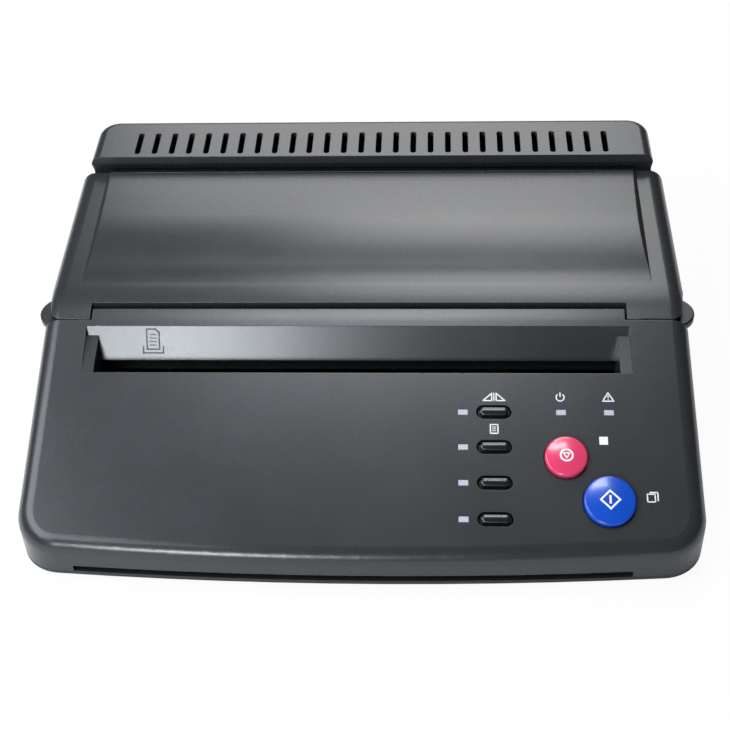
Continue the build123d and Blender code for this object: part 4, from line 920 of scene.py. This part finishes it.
class COPIER_OT_signs(bpy.types.Operator):
    """Printed signs beside and on the keys, and the sheet sign in the slot"""

    bl_idname = "copier.signs"
    bl_label = "Signs"

    def execute(self, context):
        self.panel_signs()
        self.key_signs()
        self.slot_sign()
        return {"FINISHED"}

    def panel_signs(self):
        """Symbols beside the keys and lamps, on the panel."""
        line = 0.5
        mirrored = strip([(0.0, -1.9), (0.0, 1.9)], 0.4, pieces=1)
        for side in (-1, 1):
            mirrored += strip([(side * 0.9, -1.6), (side * 0.9, 1.6), (side * 4.4, -1.6)], line, closed=True)
        plain = strip([(-1.5, -1.9), (1.5, -1.9), (1.5, 1.9), (-1.5, 1.9)], line, closed=True)
        for height in (-0.8, 0.0, 0.8):
            plain += strip([(-0.8, height), (0.8, height)], 0.32, pieces=1)
        standby = ring(1.6, line, 125, 415) + strip([(0.0, 0.2), (0.0, 2.2)], line, pieces=1)
        warning = strip([(-2.2, -1.6), (2.2, -1.6), (0.0, 2.1)], line, closed=True)
        warning += strip([(0.0, -0.35), (0.0, 0.95)], 0.42, pieces=1) + ring(0.12, 0.24, steps=12)
        warning[-12:] = [tuple((x, y - 0.9) for x, y in quad) for quad in warning[-12:]]
        halt = strip([(-1.7, 0.0), (1.7, 0.0)], 3.4)
        copies = strip([(-2.2, -2.0), (0.8, -2.0), (0.8, 1.2), (-2.2, 1.2)], line, closed=True)
        copies += strip([(-1.0, 1.9), (1.9, 1.9), (1.9, -1.4)], line)
        for name, quads, spot in (
            ("mirrored_sign", mirrored, (53.9, 68.7)), ("plain_sign", plain, (53.8, 54.7)),
            ("standby_sign", standby, (80.5, 68.6)), ("warning_sign", warning, (99.7, 68.6)),
            ("halt_sign", halt, (97.0, 49.8)), ("copies_sign", copies, (115.0, 26.2)),
        ):
            sign(name, quads, panel_place(*spot), "ink", "base")

    def key_signs(self):
        """A ring with a triangle on the stop key, a diamond with a bar on the copy key."""
        triangle = [(-1.25, 0.85), (1.25, 0.85), (0.0, -1.3)]
        halt = ring(2.35, 0.75, steps=40) + strip(triangle, 0.5, closed=True)
        place = panel_place(*STOP_SPOT, ROUND_RISE)
        sign("stop_key_sign", halt, place, "ink", "stop", crown(STOP_WIDTH))
        diamond = [(0.0, 3.7), (3.7, 0.0), (0.0, -3.7), (-3.7, 0.0)]
        begin = strip(diamond, 0.75, closed=True) + strip([(0.0, -1.7), (0.0, 1.7)], 0.9)
        place = panel_place(*COPY_SPOT, ROUND_RISE)
        sign("copy_key_sign", begin, place, "ink", "copy", crown(COPY_WIDTH))

    def slot_sign(self):
        """A sheet going in, printed on the slot's leaning wall."""
        lean = Matrix.Rotation(math.radians(60), 4, "X")
        foot = Matrix.Translation(Vector(SLOT_SIGN_SPOT) * MM)
        line = 0.6
        sheet = strip([(-2.6, -4.0), (2.6, -4.0), (2.6, 3.2), (1.2, 4.6), (-2.6, 4.6)], line, closed=True)
        for height in (-2.2, -0.7, 0.8, 2.3):
            sheet += strip([(-1.5, height), (1.5, height)], 0.4, pieces=1)
        sheet += strip([(-4.2, -3.0), (-4.2, -5.6), (4.2, -5.6), (4.2, -3.0)], line)
        sign("sheet_sign", sheet, foot @ lean @ Matrix.Scale(MM, 4), "dark_ink", "base")


class COPIER_OT_stage(bpy.types.Operator):
    """Pale floor, soft lights and camera"""

    bl_idname = "copier.stage"
    bl_label = "Stage"

    def execute(self, context):
        stage = context.scene.copier_stage
        context.scene.view_settings.view_transform = "Standard"
        self.floor()
        self.room(stage.room_level)
        cool = (0.9, 0.95, 1.0)
        self.light("overhead", (-1.5, 11.5), (0.50, 0.21), stage.overhead_power, cool)
        self.light("rear_window", (6.0, 38.0), (0.48, 0.42), stage.rear_power)
        self.light("back_wall", (-2.0, 57.0), (0.73, 0.62), stage.back_wall_power)
        self.light("side_window", (-43.0, -20.0), (0.65, 0.40), stage.side_power, cool, 0.54)
        self.light("low_window", (-38.0, -71.0), (0.26, 0.18), stage.low_power, cool)
        self.camera()
        return {"FINISHED"}

    def floor(self):
        """A wide white floor that is bright to the eye and takes the machine's shadow."""
        half, low = 4, -0.0001
        mesh = bpy.data.meshes.new("floor")
        mesh.from_pydata(
            [(-half, -half, low), (half, -half, low), (half, half, low), (-half, half, low)],
            [], [(0, 1, 2, 3)],
        )
        floor = put("floor", mesh)
        net = Net("floor_white")
        path = net.add("ShaderNodeLightPath")
        glow = net.add("ShaderNodeEmission", {}, {"Color": (1, 1, 1, 1), "Strength": 1.0})
        paint = net.add("ShaderNodeBsdfDiffuse", {}, {"Color": (0.9, 0.9, 0.9, 1)})
        lit = net.add("ShaderNodeMixShader", {}, {0: path * 0.94, 1: paint, 2: glow})
        net.add("ShaderNodeOutputMaterial", {}, {"Surface": lit})
        mesh.materials.append(net.material)

    def room(self, level):
        """A world that is white to the eye and dim to the machine."""
        world = bpy.data.worlds.new("room")
        bpy.context.scene.world = world
        world.use_nodes = True
        tree = world.node_tree
        tree.nodes.clear()
        path = tree.nodes.new("ShaderNodeLightPath")
        room = tree.nodes.new("ShaderNodeBackground")
        room.inputs["Color"].default_value = (1, 1, 1, 1)
        room.inputs["Strength"].default_value = level
        white = tree.nodes.new("ShaderNodeBackground")
        white.inputs["Color"].default_value = (1, 1, 1, 1)
        mix = tree.nodes.new("ShaderNodeMixShader")
        out = tree.nodes.new("ShaderNodeOutputWorld")
        tree.links.new(path.outputs["Is Camera Ray"], mix.inputs[0])
        tree.links.new(room.outputs[0], mix.inputs[1])
        tree.links.new(white.outputs[0], mix.inputs[2])
        tree.links.new(mix.outputs[0], out.inputs["Surface"])

    def camera(self):
        """A camera above the front edge that looks down on the panel, a little askew."""
        lens = bpy.data.cameras.new("main_view")
        lens.sensor_width = 36.0
        lens.lens = CAMERA_LENS * lens.sensor_width
        camera = put("main_view", lens)
        tilt, swing, roll = map(math.radians, (CAMERA_TILT, CAMERA_SWING, CAMERA_ROLL))
        level = Vector((math.sin(swing), math.cos(swing), 0.0))
        forward = level * math.cos(tilt) - Vector((0.0, 0.0, math.sin(tilt)))
        right = forward.cross(Vector((0, 0, 1))).normalized()
        above = right.cross(forward)
        level_right = right * math.cos(roll) + above * math.sin(roll)
        level_above = above * math.cos(roll) - right * math.sin(roll)
        turn = Matrix((level_right, level_above, -forward)).transposed()
        camera.matrix_world = Matrix.Translation(CAMERA_PLACE) @ turn.to_4x4()
        bpy.context.scene.camera = camera

    def light(self, name, leans, size, power, colour=(1, 1, 1), share=1.0):
        """An area light that leans right and rearwards of straight overhead, in degrees."""
        lamp = bpy.data.lights.new(name, "AREA")
        lamp.shape = "RECTANGLE"
        lamp.size, lamp.size_y = size
        lamp.energy = power
        lamp.color = colour
        holder = put(name, lamp)
        aim = Vector((0.0, -0.02, 0.03))
        right, rear = (math.tan(math.radians(lean)) for lean in leans)
        towards = Vector((right, rear, 1.0)).normalized()
        holder.location = aim + towards * share * bpy.context.scene.copier_stage.light_distance
        holder.rotation_euler = (-towards).to_track_quat("-Z", "Y").to_euler()


# ---------------------------------------------------------------- panel and start
STEPS = (
    COPIER_OT_shells, COPIER_OT_mechanism, COPIER_OT_electrics, COPIER_OT_keys, COPIER_OT_springs,
    COPIER_OT_screws, COPIER_OT_signs, COPIER_OT_stage,
)


class COPIER_PT_side(bpy.types.Panel):
    """Lists the copier's pieces and settings"""

    bl_idname = "COPIER_PT_side"
    bl_label = "Thermal stencil copier"
    bl_space_type = "VIEW_3D"
    bl_region_type = "UI"
    bl_category = "Copier"

    def draw(self, context):
        for group in ("copier_finish", "copier_detail", "copier_stage"):
            settings = getattr(context.scene, group)
            for name in settings.__annotations__:
                self.layout.prop(settings, name)
        for step in STEPS:
            self.layout.operator(step.bl_idname)


SETTINGS = {"copier_finish": CopierFinish, "copier_detail": CopierDetail, "copier_stage": CopierStage}


def register():
    for name, group in SETTINGS.items():
        bpy.utils.register_class(group)
        setattr(bpy.types.Scene, name, bpy.props.PointerProperty(type=group))
    for kind in (*STEPS, COPIER_PT_side):
        bpy.utils.register_class(kind)


def unregister():
    for kind in (COPIER_PT_side, *reversed(STEPS)):
        bpy.utils.unregister_class(kind)
    for name, group in SETTINGS.items():
        delattr(bpy.types.Scene, name)
        bpy.utils.unregister_class(group)


def main():
    register()
    mix_finishes(bpy.context.scene.copier_finish)
    for step in STEPS:
        family, action = step.bl_idname.split(".")
        getattr(getattr(bpy.ops, family), action)()


if __name__ == "__main__":
    main()
